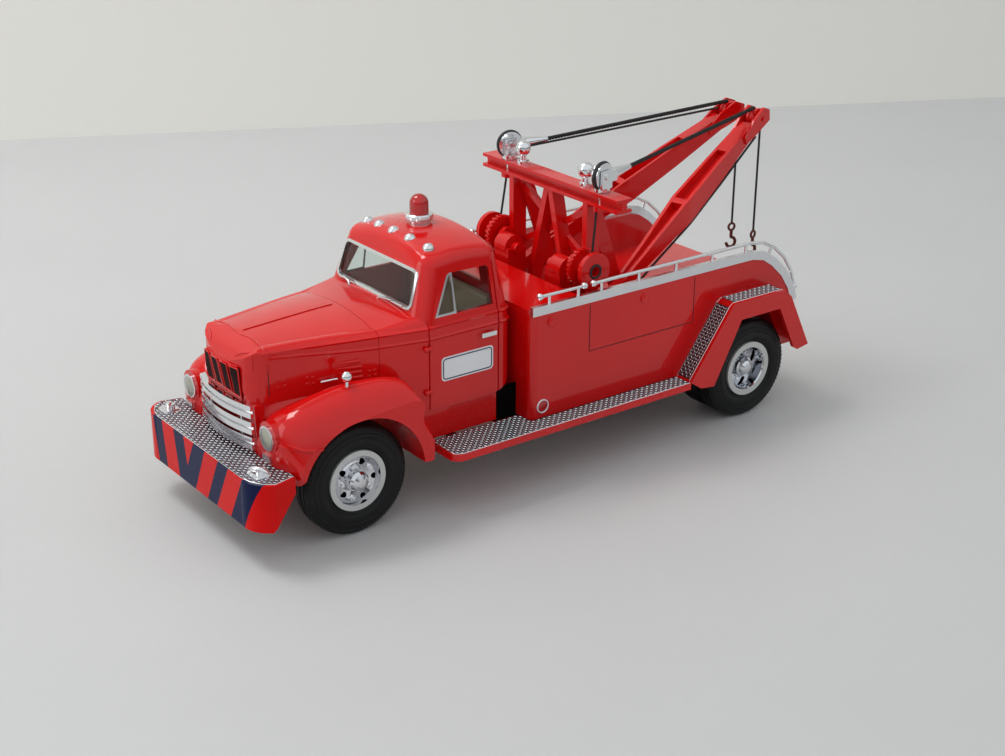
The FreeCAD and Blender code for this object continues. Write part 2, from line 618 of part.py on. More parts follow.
fender = fender_body(0)
well_inner_y = fender_inner_y + 0.8
well = cylinder(arch_radius, (front_axle_x, well_inner_y, tyre_radius), (front_axle_x, fender_y + 2, tyre_radius))
under = box(front_axle_x - arch_radius, front_axle_x + arch_radius, well_inner_y, fender_y + 2, 0, tyre_radius)
fender = fender.cut(well).cut(under)
pod = cylinder(lamp_radius + 1.0, (83.0, lamp_y, lamp_z), (87.6, lamp_y, lamp_z))
crease_slab = side_plate([(73.0, 28.0), (90.0, 30.6), (90.0, 31.2), (73.0, 28.6)], 24.0, fender_y + 3)
crease_line = fender_body(-0.3).common(crease_slab).cut(well)
fender = fuse(fender, pod.cut(well), crease_line).cut(box(30, 44.4, 0, 40, 0, 60))
nose_panel = side_plate([(84.4, 22.0), (86.8, 22.0), (87.4, 37.0), (84.6, 37.0)], -14.0, 14.0)
fenders = fuse(fender, mirrored(fender), nose_panel)
fenders = fenders.cut(cab_outer)
for side in (-1, 1):
    fenders = fenders.cut(cylinder(lamp_radius, (84.0, side * lamp_y, lamp_z), (92.0, side * lamp_y, lamp_z)))
fenders = fenders.cut(hood_body(-0.02, hood_low_z - 0.02)).cut(grille_panel)
shapes["front_fenders"] = fenders


def grille_bar(z):
    """Two chrome ribs one above the other on a bowed back strip."""
    def bowed(y_half, x_end, x_mid, z0, z1, thick):
        outer = Part.Arc(V(x_end, -y_half, z0), V(x_mid, 0, z0), V(x_end, y_half, z0)).toShape()
        back_x = x_end - thick
        inner = Part.Arc(V(back_x, y_half, z0), V(x_mid - thick, 0, z0), V(back_x, -y_half, z0)).toShape()
        a = Part.makeLine(V(x_end, y_half, z0), V(x_end - thick, y_half, z0))
        b = Part.makeLine(V(x_end - thick, -y_half, z0), V(x_end, -y_half, z0))
        return Part.Face(Part.Wire([outer, a, inner, b])).extrude(V(0, 0, z1 - z0))
    strip = bowed(13.2, 87.6, 89.4, z - 1.5, z + 1.5, 2.0)
    upper = bowed(13.5, 88.3, 90.3, z + 0.35, z + 1.7, 1.6)
    lower = bowed(13.5, 88.3, 90.3, z - 1.7, z - 0.35, 1.6)
    return fuse(strip, upper, lower)


bars = [grille_bar(35.4), grille_bar(31.0), grille_bar(26.8)]
posts = [box(86.0, 88.2, -8.6, -7.6, 25.0, 37.0), box(86.0, 88.2, 7.6, 8.6, 25.0, 37.0)]
grille = fuse(*(bars + posts))
shapes["grille_bars"] = grille.cut(fenders).cut(hood)

rim_ring = cylinder(lamp_radius, (84.0, lamp_y, lamp_z), (88.2, lamp_y, lamp_z)).cut(
    cylinder(2.7, (87.2, lamp_y, lamp_z), (89.0, lamp_y, lamp_z)))
shapes["headlight_rims"] = pair(rim_ring)
lens = cylinder(2.7, (87.2, lamp_y, lamp_z), (88.0, lamp_y, lamp_z)).fuse(
    ball(6.2, (82.55, lamp_y, lamp_z)).common(cylinder(2.7, (87.9, lamp_y, lamp_z), (90.0, lamp_y, lamp_z))))
shapes["headlight_lenses"] = pair(lens)
parking = box(85.0, 88.6, lamp_y - 1.6, lamp_y + 1.6, 24.8, 26.6)
shapes["parking_lamps"] = pair(parking.cut(fenders))
stalk = fuse(cylinder(0.5, (66.5, 24.4, 39.0), (66.5, 24.4, 42.6)), ball(1.45, (66.5, 24.4, 43.6)))
shapes["fender_lamps"] = pair(stalk.cut(fenders))

# bumper

half = bumper_half_width
bumper_low_z = bumper_top_z - bumper_height
turn_x = bumper_front_x - 5.2
outline = [(bumper_front_x, -bumper_straight_y), (bumper_front_x, bumper_straight_y),
           (turn_x, half), (bumper_rear_x, half - 1.4),
           (bumper_rear_x + 1.0, 14.0), (bumper_rear_x + 4.4, 13.0), (bumper_rear_x + 4.4, -13.0),
           (bumper_rear_x + 1.0, -14.0), (bumper_rear_x, -half + 1.4), (turn_x, -half)]
solid_bumper = plan_plate(outline, bumper_low_z, bumper_top_z)
turn_start = V(bumper_front_x, bumper_straight_y, bumper_low_z)
turn_end = V(turn_x, half, bumper_low_z)
turn_arc = Part.Arc(turn_start, V(bumper_front_x - 1.5, half - 2.6, bumper_low_z), turn_end).toShape()
bulge = Part.Face(Part.Wire([turn_arc, Part.makeLine(turn_end, turn_start)])).extrude(V(0, 0, bumper_height))
solid_bumper = fuse(solid_bumper, bulge, mirrored(bulge))
inside = [(bumper_front_x - 1.5, -22.6), (bumper_front_x - 1.5, 22.6), (turn_x, half - 2.0),
          (bumper_rear_x - 2, half - 3.8), (bumper_rear_x - 2, -half + 3.8), (turn_x, -half + 2.0)]
bumper = solid_bumper.cut(plan_plate(inside, bumper_low_z - 1, bumper_top_z - 1.4))
taper = side_plate([(bumper_front_x - 3.4, bumper_low_z - 1), (bumper_rear_x - 1, bumper_low_z + 9.6),
                    (bumper_rear_x - 1, bumper_low_z - 1)], -half - 1, half + 1)
bumper = bumper.cut(taper)
brackets = [box(80.0, bumper_front_x - 1.4, side * (rail_y + 1.2), side * (rail_y + 3.0), 17.6, 21.2)
            for side in (-1, 1)]
shapes["bumper"] = fuse(bumper, *brackets).cut(fenders)

hook_boss = fuse(box(90.6, 94.0, 22.6, 26.6, bumper_top_z, bumper_top_z + 0.8),
                 cylinder(1.3, (92.3, 24.6, bumper_top_z + 0.4), (92.3, 24.6, bumper_top_z + 1.9)))
shapes["bumper_hooks"] = pair(hook_boss)

# roof lamps

markers = []
for k in (-2, -1, 0, 1, 2):
    x = 35.6 - 0.28 * k * k
    y = 7.3 * k
    markers.append(ball(1.6, (x, y, 69.6 - 0.28 * k * k)).cut(cab_outer))
shapes["roof_markers"] = Part.makeCompound(markers)
beacon_x = 27.4
beacon_z = 73.2
shapes["beacon_base"] = fuse(cylinder(3.0, (beacon_x, 0, beacon_z - 3.8), (beacon_x, 0, beacon_z - 1.4)),
                             cylinder(3.7, (beacon_x, 0, beacon_z - 1.4), (beacon_x, 0, beacon_z))).cut(cab_outer)
shapes["beacon_dome"] = fuse(cylinder(2.6, (beacon_x, 0, beacon_z), (beacon_x, 0, beacon_z + 2.9)),
                             ball(2.6, (beacon_x, 0, beacon_z + 2.9)))

# running boards

board_low_z = board_top_z - board_thickness
board = fuse(box(board_rear_x, body_front_x + 0.1, body_y, board_y, board_low_z, board_top_z),
             box(body_front_x, board_front_x, cab_half_width, board_y, board_low_z, board_top_z))
corner = [e for e in board.Edges if abs(e.tangentAt(e.FirstParameter).z) > 0.9
          and e.CenterOfMass.x > board_front_x - 0.1 and e.CenterOfMass.y > board_y - 0.1]
board = board.makeFillet(3.0, corner)
shapes["running_boards"] = pair(board.cut(fenders))

# tow body

def with_round_front(shape, radius):
    """Round the two upright edges at the body's front."""
    corners = [e for e in shape.Edges
               if abs(e.tangentAt(e.FirstParameter).z) > 0.9 and e.CenterOfMass.x > body_front_x - 0.1]
    return shape.makeFillet(radius, corners)


shoulder_steps = [(17.4, 0.0), (13.9, 1.0), (10.2, 3.4), (5.8, 7.5), (2.6, 12.2), (0.9, 16.9), (0.0, 23.4)]
shoulder = [(body_rear_x + ahead, body_top_z - drop) for ahead, drop in shoulder_steps]
front_edge = [(body_front_x, body_bottom_z), (body_front_x, body_top_z)]
side_outline = front_edge + shoulder + [(body_rear_x, body_bottom_z)]
whole = side_plate(side_outline, -body_y, body_y)
whole = with_round_front(whole, 2.2)
deck_block = box(deck_rear_x, body_front_x, -body_y + 1.0, body_y - 1.0, body_top_z - 1.0, deck_z)
deck_block = with_round_front(deck_block, 1.6)
bed_space = box(-100, deck_rear_x, -box_inner_y, box_inner_y, bed_z, 80)
body = fuse(whole, deck_block).cut(bed_space)
under_deck = box(deck_rear_x + body_wall, body_front_x - body_wall, -box_inner_y, box_inner_y,
                 0, deck_z - body_wall)
under_bed = box(body_rear_x + body_wall, deck_rear_x + body_wall + 1, -box_inner_y, box_inner_y,
                0, bed_z - bed_thickness)
body = body.cut(under_deck).cut(under_bed)
arch_steps = [(18.0, 10), (18.0, 17.0), (7.8, 34.6), (-8.8, 34.6), (-15.6, 20.0), (-15.6, 10)]
arch = [(rear_axle_x + ahead, z) for ahead, z in arch_steps]
body = body.cut(side_plate(arch, -body_y - 1, body_y + 1))
body = body.cut(box(-100, 20, -rail_y - half_rail - 0.2, rail_y + half_rail + 0.2, 0, rail_top_z))
shapes["tow_body"] = body

support = box(frame_rear_x + 6.5, 8.0, rail_y - 1.0, rail_y + 1.0, rail_top_z, bed_z - bed_thickness)
shapes["bed_supports"] = pair(support)

# rear fenders

outer_steps = [(26.4, 18.3), (11.6, 38.4), (10.4, rear_fender_top_z), (-9.6, rear_fender_top_z), (-12.8, 36.6),
               (-21.6, 19.4)]
arch_edge_steps = [(-17.0, 18.6), (-15.4, 19.6), (-8.4, 33.6), (7.4, 33.6), (17.2, 15.0), (22.4, 15.6)]
under_steps = [(-20.2, 19.0), (-11.9, 35.6), (-9.0, 38.0), (10.1, 38.0), (24.8, 18.3)]


def from_rear_axle(steps):
    return [(rear_axle_x + ahead, z) for ahead, z in steps]


face_plate = side_plate(from_rear_axle(outer_steps + arch_edge_steps), rear_fender_y - 1.2, rear_fender_y)
top_band = side_plate(from_rear_axle(outer_steps + under_steps), body_y, rear_fender_y - 1.0)
shapes["rear_fenders"] = pair(fuse(face_plate, top_band))

# side trim and rails

upper = [(body_front_x - 0.1, body_top_z), (body_rear_x + 18.4, body_top_z)] + shoulder[1:-1]


def trim_strip(lower_line, rise):
    raised = []
    for k, (x, z) in enumerate(lower_line):
        a = lower_line[max(k - 1, 0)]
        b = lower_line[min(k + 1, len(lower_line) - 1)]
        length = math.hypot(b[0] - a[0], b[1] - a[1])
        nx = (b[1] - a[1]) / length
        nz = -(b[0] - a[0]) / length
        raised.append((x + nx * rise, z + nz * rise))
    return lower_line + raised[::-1]


strip = side_plate(trim_strip(upper, 2.6), body_y - 1.0, body_y + 0.3)
strip = strip.cut(side_plate(side_outline, -body_y, body_y)).cut(deck_block)
shapes["side_trim"] = pair(strip)


def round_rail(path, y, radius):
    parts = []
    for a, b in zip(path[:-1], path[1:]):
        parts.append(cylinder(radius, (a[0], y, a[1]), (b[0], y, b[1])))
    for x, z in path[1:-1]:
        parts.append(ball(radius, (x, y, z)))
    for x, z in (path[0], path[-1]):
        parts.append(ball(radius * 1.9, (x, y, z)))
    return parts


rail_line_y = body_y - 0.4
rail_z = 53.5
curve_steps = [(19.4, rail_z), (13.8, 52.6), (9.0, 50.2), (4.4, 46.2), (1.0, 41.2), (-0.8, 36.0)]
rear_rail = [(-10.6, rail_z)] + [(body_rear_x + ahead, z) for ahead, z in curve_steps]
front_rail = [(7.9, rail_z), (-7.4, rail_z)]
rail_parts = round_rail(front_rail, rail_line_y, 0.5) + round_rail(rear_rail, rail_line_y, 0.5)
for x in (4.8, -5.2, -13.4, -27.0, -41.0, -55.0, body_rear_x + 20.9):
    rail_parts.append(cylinder(0.45, (x, rail_line_y, body_top_z + 2.4), (x, rail_line_y, rail_z)))
for ahead, z, dx, dz in ((10.2, 50.8, 1.5, -3.4), (1.2, 41.4, 3.0, -1.8)):
    x = body_rear_x + ahead
    rail_parts.append(cylinder(0.45, (x, rail_line_y, z), (x + dx, rail_line_y, z + dz)))
rails_side = fuse(*rail_parts)
rails_side = rails_side.cut(strip).cut(whole)
shapes["side_rails"] = pair(rails_side)

shapes["tail_step"] = box(body_rear_x - 3.2, body_rear_x, -24.0, 24.0, 18.4, 22.4)
tail_lamp = cylinder(1.5, (body_rear_x - 1.4, 24.6, 27.0), (body_rear_x, 24.6, 27.0))
shapes["tail_lamps"] = pair(tail_lamp)

# mast

post_front_x = mast_x + post_depth / 2
post_rear_x = mast_x - post_depth / 2
beam_low_z = beam_top_z - beam_height
post = box(post_rear_x, post_front_x, post_y - post_thickness / 2, post_y + post_thickness / 2, bed_z, beam_low_z)
brace = bar((mast_x - 1.2, post_y - 1.5, beam_low_z), (mast_x - 13.8, post_y - 1.5, bed_z), 1.2, 4.2, (1, 0, 0))
foot = box(mast_x - 16.4, mast_x + 3.4, post_y - 2.4, post_y + 1.2, bed_z, bed_z + 1.0)
side_frame = fuse(post, brace, foot)
leg_near = bar((mast_x + 0.2, 0.9, beam_low_z + 0.0), (mast_x + 0.2, 9.8, bed_z), 2.0, 4.0, (1, 0, 0))
leg_far = bar((mast_x + 0.2, -0.9, beam_low_z + 0.0), (mast_x + 0.2, -9.8, bed_z), 2.0, 4.0, (1, 0, 0))
cross_a = bar((mast_x - 1.4, -post_y + 0.8, 70.0), (mast_x - 1.4, post_y - 0.8, 52.5), 1.8, 1.4, (1, 0, 0))
cross_b = bar((mast_x - 1.4, post_y - 0.8, 70.0), (mast_x - 1.4, -post_y + 0.8, 52.5), 1.8, 1.4, (1, 0, 0))
sill = box(mast_x - 2.4, mast_x + 2.6, -post_y, post_y, bed_z, bed_z + 1.4)
mast = fuse(side_frame, mirrored(side_frame), leg_near, leg_far, cross_a, cross_b, sill)
mast = mast.cut(box(-60, 0, -30, 30, beam_low_z, 90)).cut(box(-60, 0, -30, 30, 0, bed_z))
shapes["mast_frame"] = mast

beam_front_x = mast_x + beam_width / 2
beam_rear_x = mast_x - beam_width / 2
beam = box(beam_rear_x, beam_front_x, -beam_half_length, beam_half_length, beam_low_z, beam_top_z)
for side in (-1, 1):
    edge = mast_x + side * beam_width / 2
    groove_box = box(edge - side * 1.7, edge + side * 1, -beam_half_length - 1, beam_half_length + 1,
                     beam_low_z + 0.9, beam_top_z - 0.9)
    beam = beam.cut(groove_box)
swivel = cylinder(2.4, (mast_x, boom_pivot_y, beam_low_z - 1.4), (mast_x, boom_pivot_y, beam_low_z))
pin_hole_radius = 1.0
beam = fuse(beam, swivel, mirrored(swivel))
for side in (-1, 1):
    beam = beam.cut(cylinder(pin_hole_radius, (mast_x, side * boom_pivot_y, 60), (mast_x, side * boom_pivot_y, 90)))
shapes["mast_beam"] = beam

spot_y = 14.2
spot = fuse(ball(2.3, (mast_x + 0.2, spot_y, 80.9)), cylinder(1.0, (mast_x + 0.2, spot_y, beam_top_z),
                                                             (mast_x + 0.2, spot_y, 79.4)),
            cylinder(1.8, (mast_x + 0.2, spot_y, beam_top_z), (mast_x + 0.2, spot_y, beam_top_z + 1.0)))
shapes["spot_lamps"] = pair(spot)

# winches

plate_outline = [(-11.2, bed_z), (-11.6, 56.2), (-13.4, 57.6), (-15.4, 57.4), (-15.9, 56.0), (-15.9, bed_z)]
plate = side_plate(plate_outline, 15.2, 16.6)
gearbox = fuse(box(-15.6, -9.2, 8.6, 15.2, bed_z, 53.4),
               cylinder(3.4, (-12.4, 10.0, 53.4), (-12.4, 15.2, 53.4)),
               cylinder(1.6, (-12.4, 7.4, 53.4), (-12.4, 10.0, 53.4)))
bearing = cylinder(2.2, (winch_x, 15.2, winch_z), (winch_x, 17.4, winch_z))
winch_housing = fuse(plate, gearbox, bearing)
winch_bore = cylinder(1.2 + running_fit, (winch_x, 13.4, winch_z), (winch_x, 19.0, winch_z))
winch_housing = winch_housing.cut(winch_bore).cut(mast)
shapes["winch_housings"] = pair(winch_housing)

disc_in_y = winch_disc_y - 1.4
drum = fuse(cylinder(winch_disc_radius, (winch_x, disc_in_y, winch_z), (winch_x, winch_disc_y, winch_z)),
            cylinder(3.0, (winch_x, 19.6, winch_z), (winch_x, disc_in_y, winch_z)),
            cylinder(5.0, (winch_x, 18.2, winch_z), (winch_x, 19.6, winch_z)),
            cylinder(1.2, (winch_x, 13.5, winch_z), (winch_x, 18.2, winch_z)))
teeth = []
tooth_count = 24
for k in range(tooth_count):
    angle = 2 * math.pi * k / tooth_count
    tooth = box(winch_x - 0.3, winch_x + 0.3, 18.2, 19.6, winch_z + 4.6, winch_z + 5.5)
    tooth.rotate(V(winch_x, 0, winch_z), V(0, 1, 0), math.degrees(angle))
    teeth.append(tooth)
drum = fuse(drum, *teeth)
socket = Part.Face(Part.makePolygon([V(winch_x + 1.5 * math.cos(math.radians(60 * k)), winch_disc_y + 1,
                                       winch_z + 1.5 * math.sin(math.radians(60 * k))) for k in range(7)]))
drum = drum.cut(socket.extrude(V(0, -3.4, 0)))
shapes["winch_drum_left"] = drum
shapes["winch_drum_right"] = mirrored(drum)

# booms, drawn straight back along -X from the swing axis and then turned inward

pivot = V(mast_x, boom_pivot_y, 0)
rise = math.radians(boom_rise_deg)
boom_reach = (boom_length + 2.2) * math.cos(rise)
boom_inward_deg = math.degrees(math.asin((boom_pivot_y - boom_head_y) / boom_reach))


def along(distance, off=0.0):
    """A point on the boom's centre line, 'off' square to it, as (x, z) before the turn."""
    x = mast_x - distance * math.cos(rise) + off * math.sin(rise)
    z = boom_foot_z + distance * math.sin(rise) + off * math.cos(rise)
    return x, z


def turned(shape, side):
    """Turn a left-hand boom piece inward to its parked angle; 'side' -1 makes the right one."""
    moved = shape.copy()
    moved.rotate(pivot, V(0, 0, 1), boom_inward_deg)
    return moved if side > 0 else mirrored(moved)


def boom_shape():
    """A tapered box boom: two side plates, deepest at mid length, a web between them and cross ties."""
    half_depth = [(0.0, 1.5), (10.0, 1.6), (24.0, 2.1), (44.0, 3.4), (62.0, 2.9), (boom_length - 8.0, 2.2),
                  (boom_length - 2.0, 1.9)]
    top_line = [along(d, h) for d, h in half_depth]
    low_line = [along(d, -h) for d, h in half_depth]
    outline = top_line + low_line[::-1]
    y = boom_pivot_y
    plan = [(0.0, 1.6), (12.0, 1.6), (26.0, 2.1), (44.0, 3.1), (boom_length - 8.0, 2.4), (boom_length - 2.0, 2.2)]
    out = [(mast_x - d * math.cos(rise), y + w) for d, w in plan]
    mirror_out = [(mast_x - d * math.cos(rise), y - w) for d, w in plan][::-1]
    block = side_plate(outline, y - 5, y + 5).common(plan_plate(out + mirror_out, 30, 100))
    pockets = []
    for start, stop in ((12.0, 43.0), (45.0, boom_length - 16.0)):
        rows = [(start, 0.8), (start, 6.0), (stop, 6.0), (stop, 0.8)]
        pocket = side_plate([along(d, o) for d, o in rows], y - 5, y + 5)
        narrow = [(mast_x - d * math.cos(rise), y + max(w - boom_plate, 0.6)) for d, w in plan]
        narrow_back = [(a, 2 * y - b) for a, b in narrow][::-1]
        pockets.append(pocket.common(plan_plate(narrow + narrow_back, 30, 100)))
    for pocket in pockets:
        block = block.cut(pocket)
    foot_eye = cylinder(2.3, (mast_x, y, boom_foot_z - 2.0), (mast_x, y, boom_foot_z + 2.0))
    block = fuse(block, foot_eye)
    return block.cut(cylinder(1.2 + running_fit, (mast_x, y, 30), (mast_x, y, 50)))


def boom_head_shape():
    """Two cheeks on the boom's end with a grooved sheave between them and a second one below."""
    y = boom_pivot_y
    cheek_steps = [(-8.0, 1.2), (-2.0, 3.0), (4.0, 3.4), (6.2, 1.0), (5.0, -2.2), (-2.0, -1.8), (-8.0, -1.2)]
    cheek_outline = [along(boom_length + past, off) for past, off in cheek_steps]
    cheek = side_plate(cheek_outline, y + 2.2, y + 3.0)
    cheek_back = side_plate(cheek_outline, y - 3.0, y - 2.2)
    centre = along(boom_length + 2.2, 0.4)
    axle = cylinder(0.7, (centre[0], y - 3.4, centre[1]), (centre[0], y + 3.4, centre[1]))
    wheel = cylinder(3.0, (centre[0], y - 1.3, centre[1]), (centre[0], y + 1.3, centre[1]))
    hub = cylinder(1.2, (centre[0], y - 2.2, centre[1]), (centre[0], y + 2.2, centre[1]))
    groove_ring = Part.makeTorus(3.2, 0.7, V(centre[0], y, centre[1]), V(0, 1, 0))
    return fuse(cheek, cheek_back, axle, wheel.cut(groove_ring), hub), centre


boom = boom_shape()
head, head_centre = boom_head_shape()
head = head.cut(boom)
base_pin_left = fuse(cylinder(1.2, (mast_x, boom_pivot_y, bed_z), (mast_x, boom_pivot_y, 45.0)),
                     cylinder(2.8, (mast_x, boom_pivot_y, bed_z), (mast_x, boom_pivot_y, boom_foot_z - 2.1)))
shapes["boom_pins"] = pair(base_pin_left)

sheave_z = 80.7
block_base = cylinder(2.2, (mast_x, boom_pivot_y, beam_top_z + 0.1), (mast_x, boom_pivot_y, beam_top_z + 1.3))
block_pin = cylinder(pin_hole_radius - running_fit, (mast_x, boom_pivot_y, beam_low_z - 1.4),
                     (mast_x, boom_pivot_y, beam_top_z + 0.3))
cheek_pair = fuse(box(mast_x - 2.2, mast_x + 2.2, boom_pivot_y + 1.1, boom_pivot_y + 1.8, beam_top_z + 1.0, 82.4),
                  box(mast_x - 2.2, mast_x + 2.2, boom_pivot_y - 1.8, boom_pivot_y - 1.1, beam_top_z + 1.0, 82.4))
mast_wheel = cylinder(3.7, (mast_x, boom_pivot_y - 0.9, sheave_z), (mast_x, boom_pivot_y + 0.9, sheave_z))
mast_wheel = mast_wheel.cut(Part.makeTorus(3.9, 0.6, V(mast_x, boom_pivot_y, sheave_z), V(0, 1, 0)))
wheel_pin = cylinder(0.9, (mast_x, boom_pivot_y - 2.2, sheave_z), (mast_x, boom_pivot_y + 2.2, sheave_z))
nozzle = fuse(box(mast_x - 4.4, mast_x - 1.8, boom_pivot_y - 1.8, boom_pivot_y + 1.8, 79.0, 82.2),
              cone(1.7, 0.7, (mast_x - 4.2, boom_pivot_y, 80.6), (mast_x - 12.2, boom_pivot_y, 80.9)))
mast_block = fuse(block_base, block_pin, cheek_pair, mast_wheel, wheel_pin, nozzle)

head_x, head_z = head_centre
topping = cylinder(line_radius, (mast_x - 12.2, boom_pivot_y, 80.9), (head_x + 1.0, boom_pivot_y, head_z + 3.1))
topping = topping.cut(head).cut(boom).cut(mast_block)
low_line_y = boom_pivot_y - 1.2
topping_low = cylinder(line_radius, (mast_x - 4.4, low_line_y, 79.6), (head_x + 5.2, low_line_y, head_z + 1.6))
topping_low = topping_low.cut(head).cut(boom).cut(mast_block)
hook_x = head_x - 3.2
hook_z = bed_z + 6.4
load_line = cylinder(0.3, (hook_x, boom_pivot_y, head_z), (hook_x, boom_pivot_y, hook_z + 2.6)).cut(head)
ring = Part.makeTorus(1.1, 0.38, V(hook_x, boom_pivot_y, hook_z + 1.4), V(0, 1, 0))
shank = cylinder(0.5, (hook_x, boom_pivot_y, hook_z + 0.4), (hook_x, boom_pivot_y, hook_z - 2.2))
bend = Part.makeTorus(1.6, 0.5, V(hook_x - 0.0, boom_pivot_y, hook_z - 3.7), V(0, 1, 0))
bend = bend.cut(box(hook_x - 0.0, hook_x + 4, boom_pivot_y - 2, boom_pivot_y + 2, hook_z - 3.7, hook_z + 0))
tow_hook = fuse(ring, shank, bend)
knot = ball(0.75, (hook_x, boom_pivot_y, hook_z + 3.0))

for name, side in (("left", 1), ("right", -1)):
    shapes["boom_" + name] = turned(boom, side)
    shapes["boom_head_" + name] = turned(head, side)
    shapes["mast_sheave_" + name] = turned(mast_block, side)
    lines_set = Part.makeCompound(topping.Solids + topping_low.Solids + fuse(load_line, knot).cut(tow_hook).Solids)
    shapes["boom_lines_" + name] = turned(lines_set, side)
    shapes["tow_hook_" + name] = turned(tow_hook, side)

os.makedirs("parts", exist_ok=True)
for name, shape in shapes.items():
    shape.exportStep("parts/" + name + ".step")
    print(name, len(shape.Solids), round(shape.Volume, 1), shape.isValid())
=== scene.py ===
import math

import bmesh
import bpy
from mathutils import Matrix, Vector
from mathutils.bvhtree import BVHTree


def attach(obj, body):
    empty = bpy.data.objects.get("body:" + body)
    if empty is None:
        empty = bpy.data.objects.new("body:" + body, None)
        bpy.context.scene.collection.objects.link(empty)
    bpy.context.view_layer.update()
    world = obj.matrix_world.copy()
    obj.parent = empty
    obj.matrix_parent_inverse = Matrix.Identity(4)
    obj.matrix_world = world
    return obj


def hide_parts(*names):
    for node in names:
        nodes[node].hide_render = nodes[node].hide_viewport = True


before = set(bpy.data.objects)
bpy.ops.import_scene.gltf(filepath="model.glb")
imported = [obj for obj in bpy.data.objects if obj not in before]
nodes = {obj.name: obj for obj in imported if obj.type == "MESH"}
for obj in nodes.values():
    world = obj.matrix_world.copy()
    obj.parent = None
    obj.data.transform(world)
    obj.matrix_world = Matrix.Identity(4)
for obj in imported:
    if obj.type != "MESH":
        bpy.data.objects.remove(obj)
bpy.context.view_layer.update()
mm = 0.001
print("frame loaded:", len(nodes), "nodes")


# Colours as seen, 0 to 255, made linear for the shader sockets
def colour(red, green, blue):
    parts = [v / 255 for v in (red, green, blue)]
    return tuple(v / 12.92 if v <= 0.04045 else ((v + 0.055) / 1.055) ** 2.4 for v in parts) + (1.0,)


palette = {"red": (217, 13, 12), "redDeep": (202, 9, 10), "navy": (12, 24, 66)}

# The axle lines, in millimetres
wheels = {"height": 15.3, "frontX": 65.7, "rearX": -69.0}


# Shader trees

# Nodes: a socket given as a value is linked, anything else is set, and a list links each in turn
def feed(tree, node, values):
    for key, value in values.items():
        for part in value if isinstance(value, list) else [value]:
            if isinstance(part, bpy.types.NodeSocket):
                tree.links.new(part, node.inputs[key])
            else:
                node.inputs[key].default_value = part


# Adds a node and gives back its outputs
def put(tree, kind, values=None, **settings):
    node = tree.nodes.new(kind)
    for key, value in settings.items():
        setattr(node, key, value)
    feed(tree, node, values or {})
    return node.outputs


def socketKind(value):
    if isinstance(value, tuple):
        return "NodeSocketColor" if len(value) == 4 else "NodeSocketVector"
    return "NodeSocketInt" if isinstance(value, int) else "NodeSocketFloat"


def declare(tree, inputs, outputs):
    for label, value in inputs.items():
        tree.interface.new_socket(label, in_out="INPUT", socket_type=socketKind(value)).default_value = value
    for label, kind in outputs.items():
        tree.interface.new_socket(label, in_out="OUTPUT", socket_type="NodeSocket" + kind)
    return tree.nodes.new("NodeGroupInput").outputs, tree.nodes.new("NodeGroupOutput")


def shaderGroup(name, inputs, outputs):
    group = bpy.data.node_groups.new(name, "ShaderNodeTree")
    return (group, *declare(group, inputs, outputs))


# The nodes that most trees use

def objectPlace(tree):
    return put(tree, "ShaderNodeTexCoord")["Object"]


def noise(tree, place, scale, detail=2.0, roughness=0.5):
    return put(tree, "ShaderNodeTexNoise", {"Vector": place, "Scale": scale, "Detail": detail,
                                            "Roughness": roughness})["Fac"]


def span(tree, value, fromMin=0.0, fromMax=1.0, toMin=0.0, toMax=1.0, clamp=True):
    return put(tree, "ShaderNodeMapRange", {"Value": value, "From Min": fromMin, "From Max": fromMax,
                                            "To Min": toMin, "To Max": toMax}, clamp=clamp)["Result"]


def mixed(tree, share, first, second):
    return put(tree, "ShaderNodeMix", {"Factor": share, "A": first, "B": second}, data_type="RGBA")["Result"]


def maths(tree, operation, *values):
    return put(tree, "ShaderNodeMath", dict(enumerate(values)), operation=operation)[0]


def bumped(tree, height, strength, distance=0.0001):
    return put(tree, "ShaderNodeBump", {"Height": height, "Strength": strength, "Distance": distance})["Normal"]


skinOutputs = {"Colour": "Color", "Roughness": "Float", "Normal": "Vector"}


# Faint uneven sheen and handling marks: a roughness value and a slightly clouded colour
def buildPaintSkin():
    group, given, result = shaderGroup("paintSkin", {
        "Colour": colour(*palette["red"]), "Deep colour": colour(*palette["redDeep"]), "Cloud size": 45.0,
        "Base roughness": 0.17, "Marks": 0.04, "Peel height": 0.04}, skinOutputs)
    place = objectPlace(group)
    cloud = span(group, noise(group, place, given["Cloud size"], 3.0, 0.55), 0.35, 0.75)
    marks = span(group, noise(group, place, 420.0, 6.0, 0.7), 0.5, 0.8)
    feed(group, result, {
        "Colour": mixed(group, cloud, given["Colour"], given["Deep colour"]),
        "Roughness": maths(group, "MULTIPLY_ADD", marks, given["Marks"], given["Base roughness"]),
        "Normal": bumped(group, noise(group, place, 1500.0), given["Peel height"], 0.00004)})
    return group


# Fine cast or moulded grain, for rubber, plastic, metal and the table
def buildGrain():
    group, given, result = shaderGroup("fineGrain", {
        "Colour": colour(13, 13, 14), "Worn colour": colour(150, 150, 152), "Grain size": 900.0, "Wear size": 60.0,
        "Wear share": 0.3, "Base roughness": 0.55, "Depth": 0.2}, skinOutputs)
    place = objectPlace(group)
    grain = noise(group, place, given["Grain size"], 4.0, 0.6)
    wear = span(group, noise(group, place, given["Wear size"], 5.0, 0.65), 0.42, 0.8)
    amount = maths(group, "MULTIPLY", wear, given["Wear share"])
    feed(group, result, {
        "Colour": mixed(group, amount, given["Colour"], given["Worn colour"]),
        "Roughness": maths(group, "MULTIPLY_ADD", grain, 0.25, given["Base roughness"]),
        "Normal": bumped(group, grain, given["Depth"])})
    return group


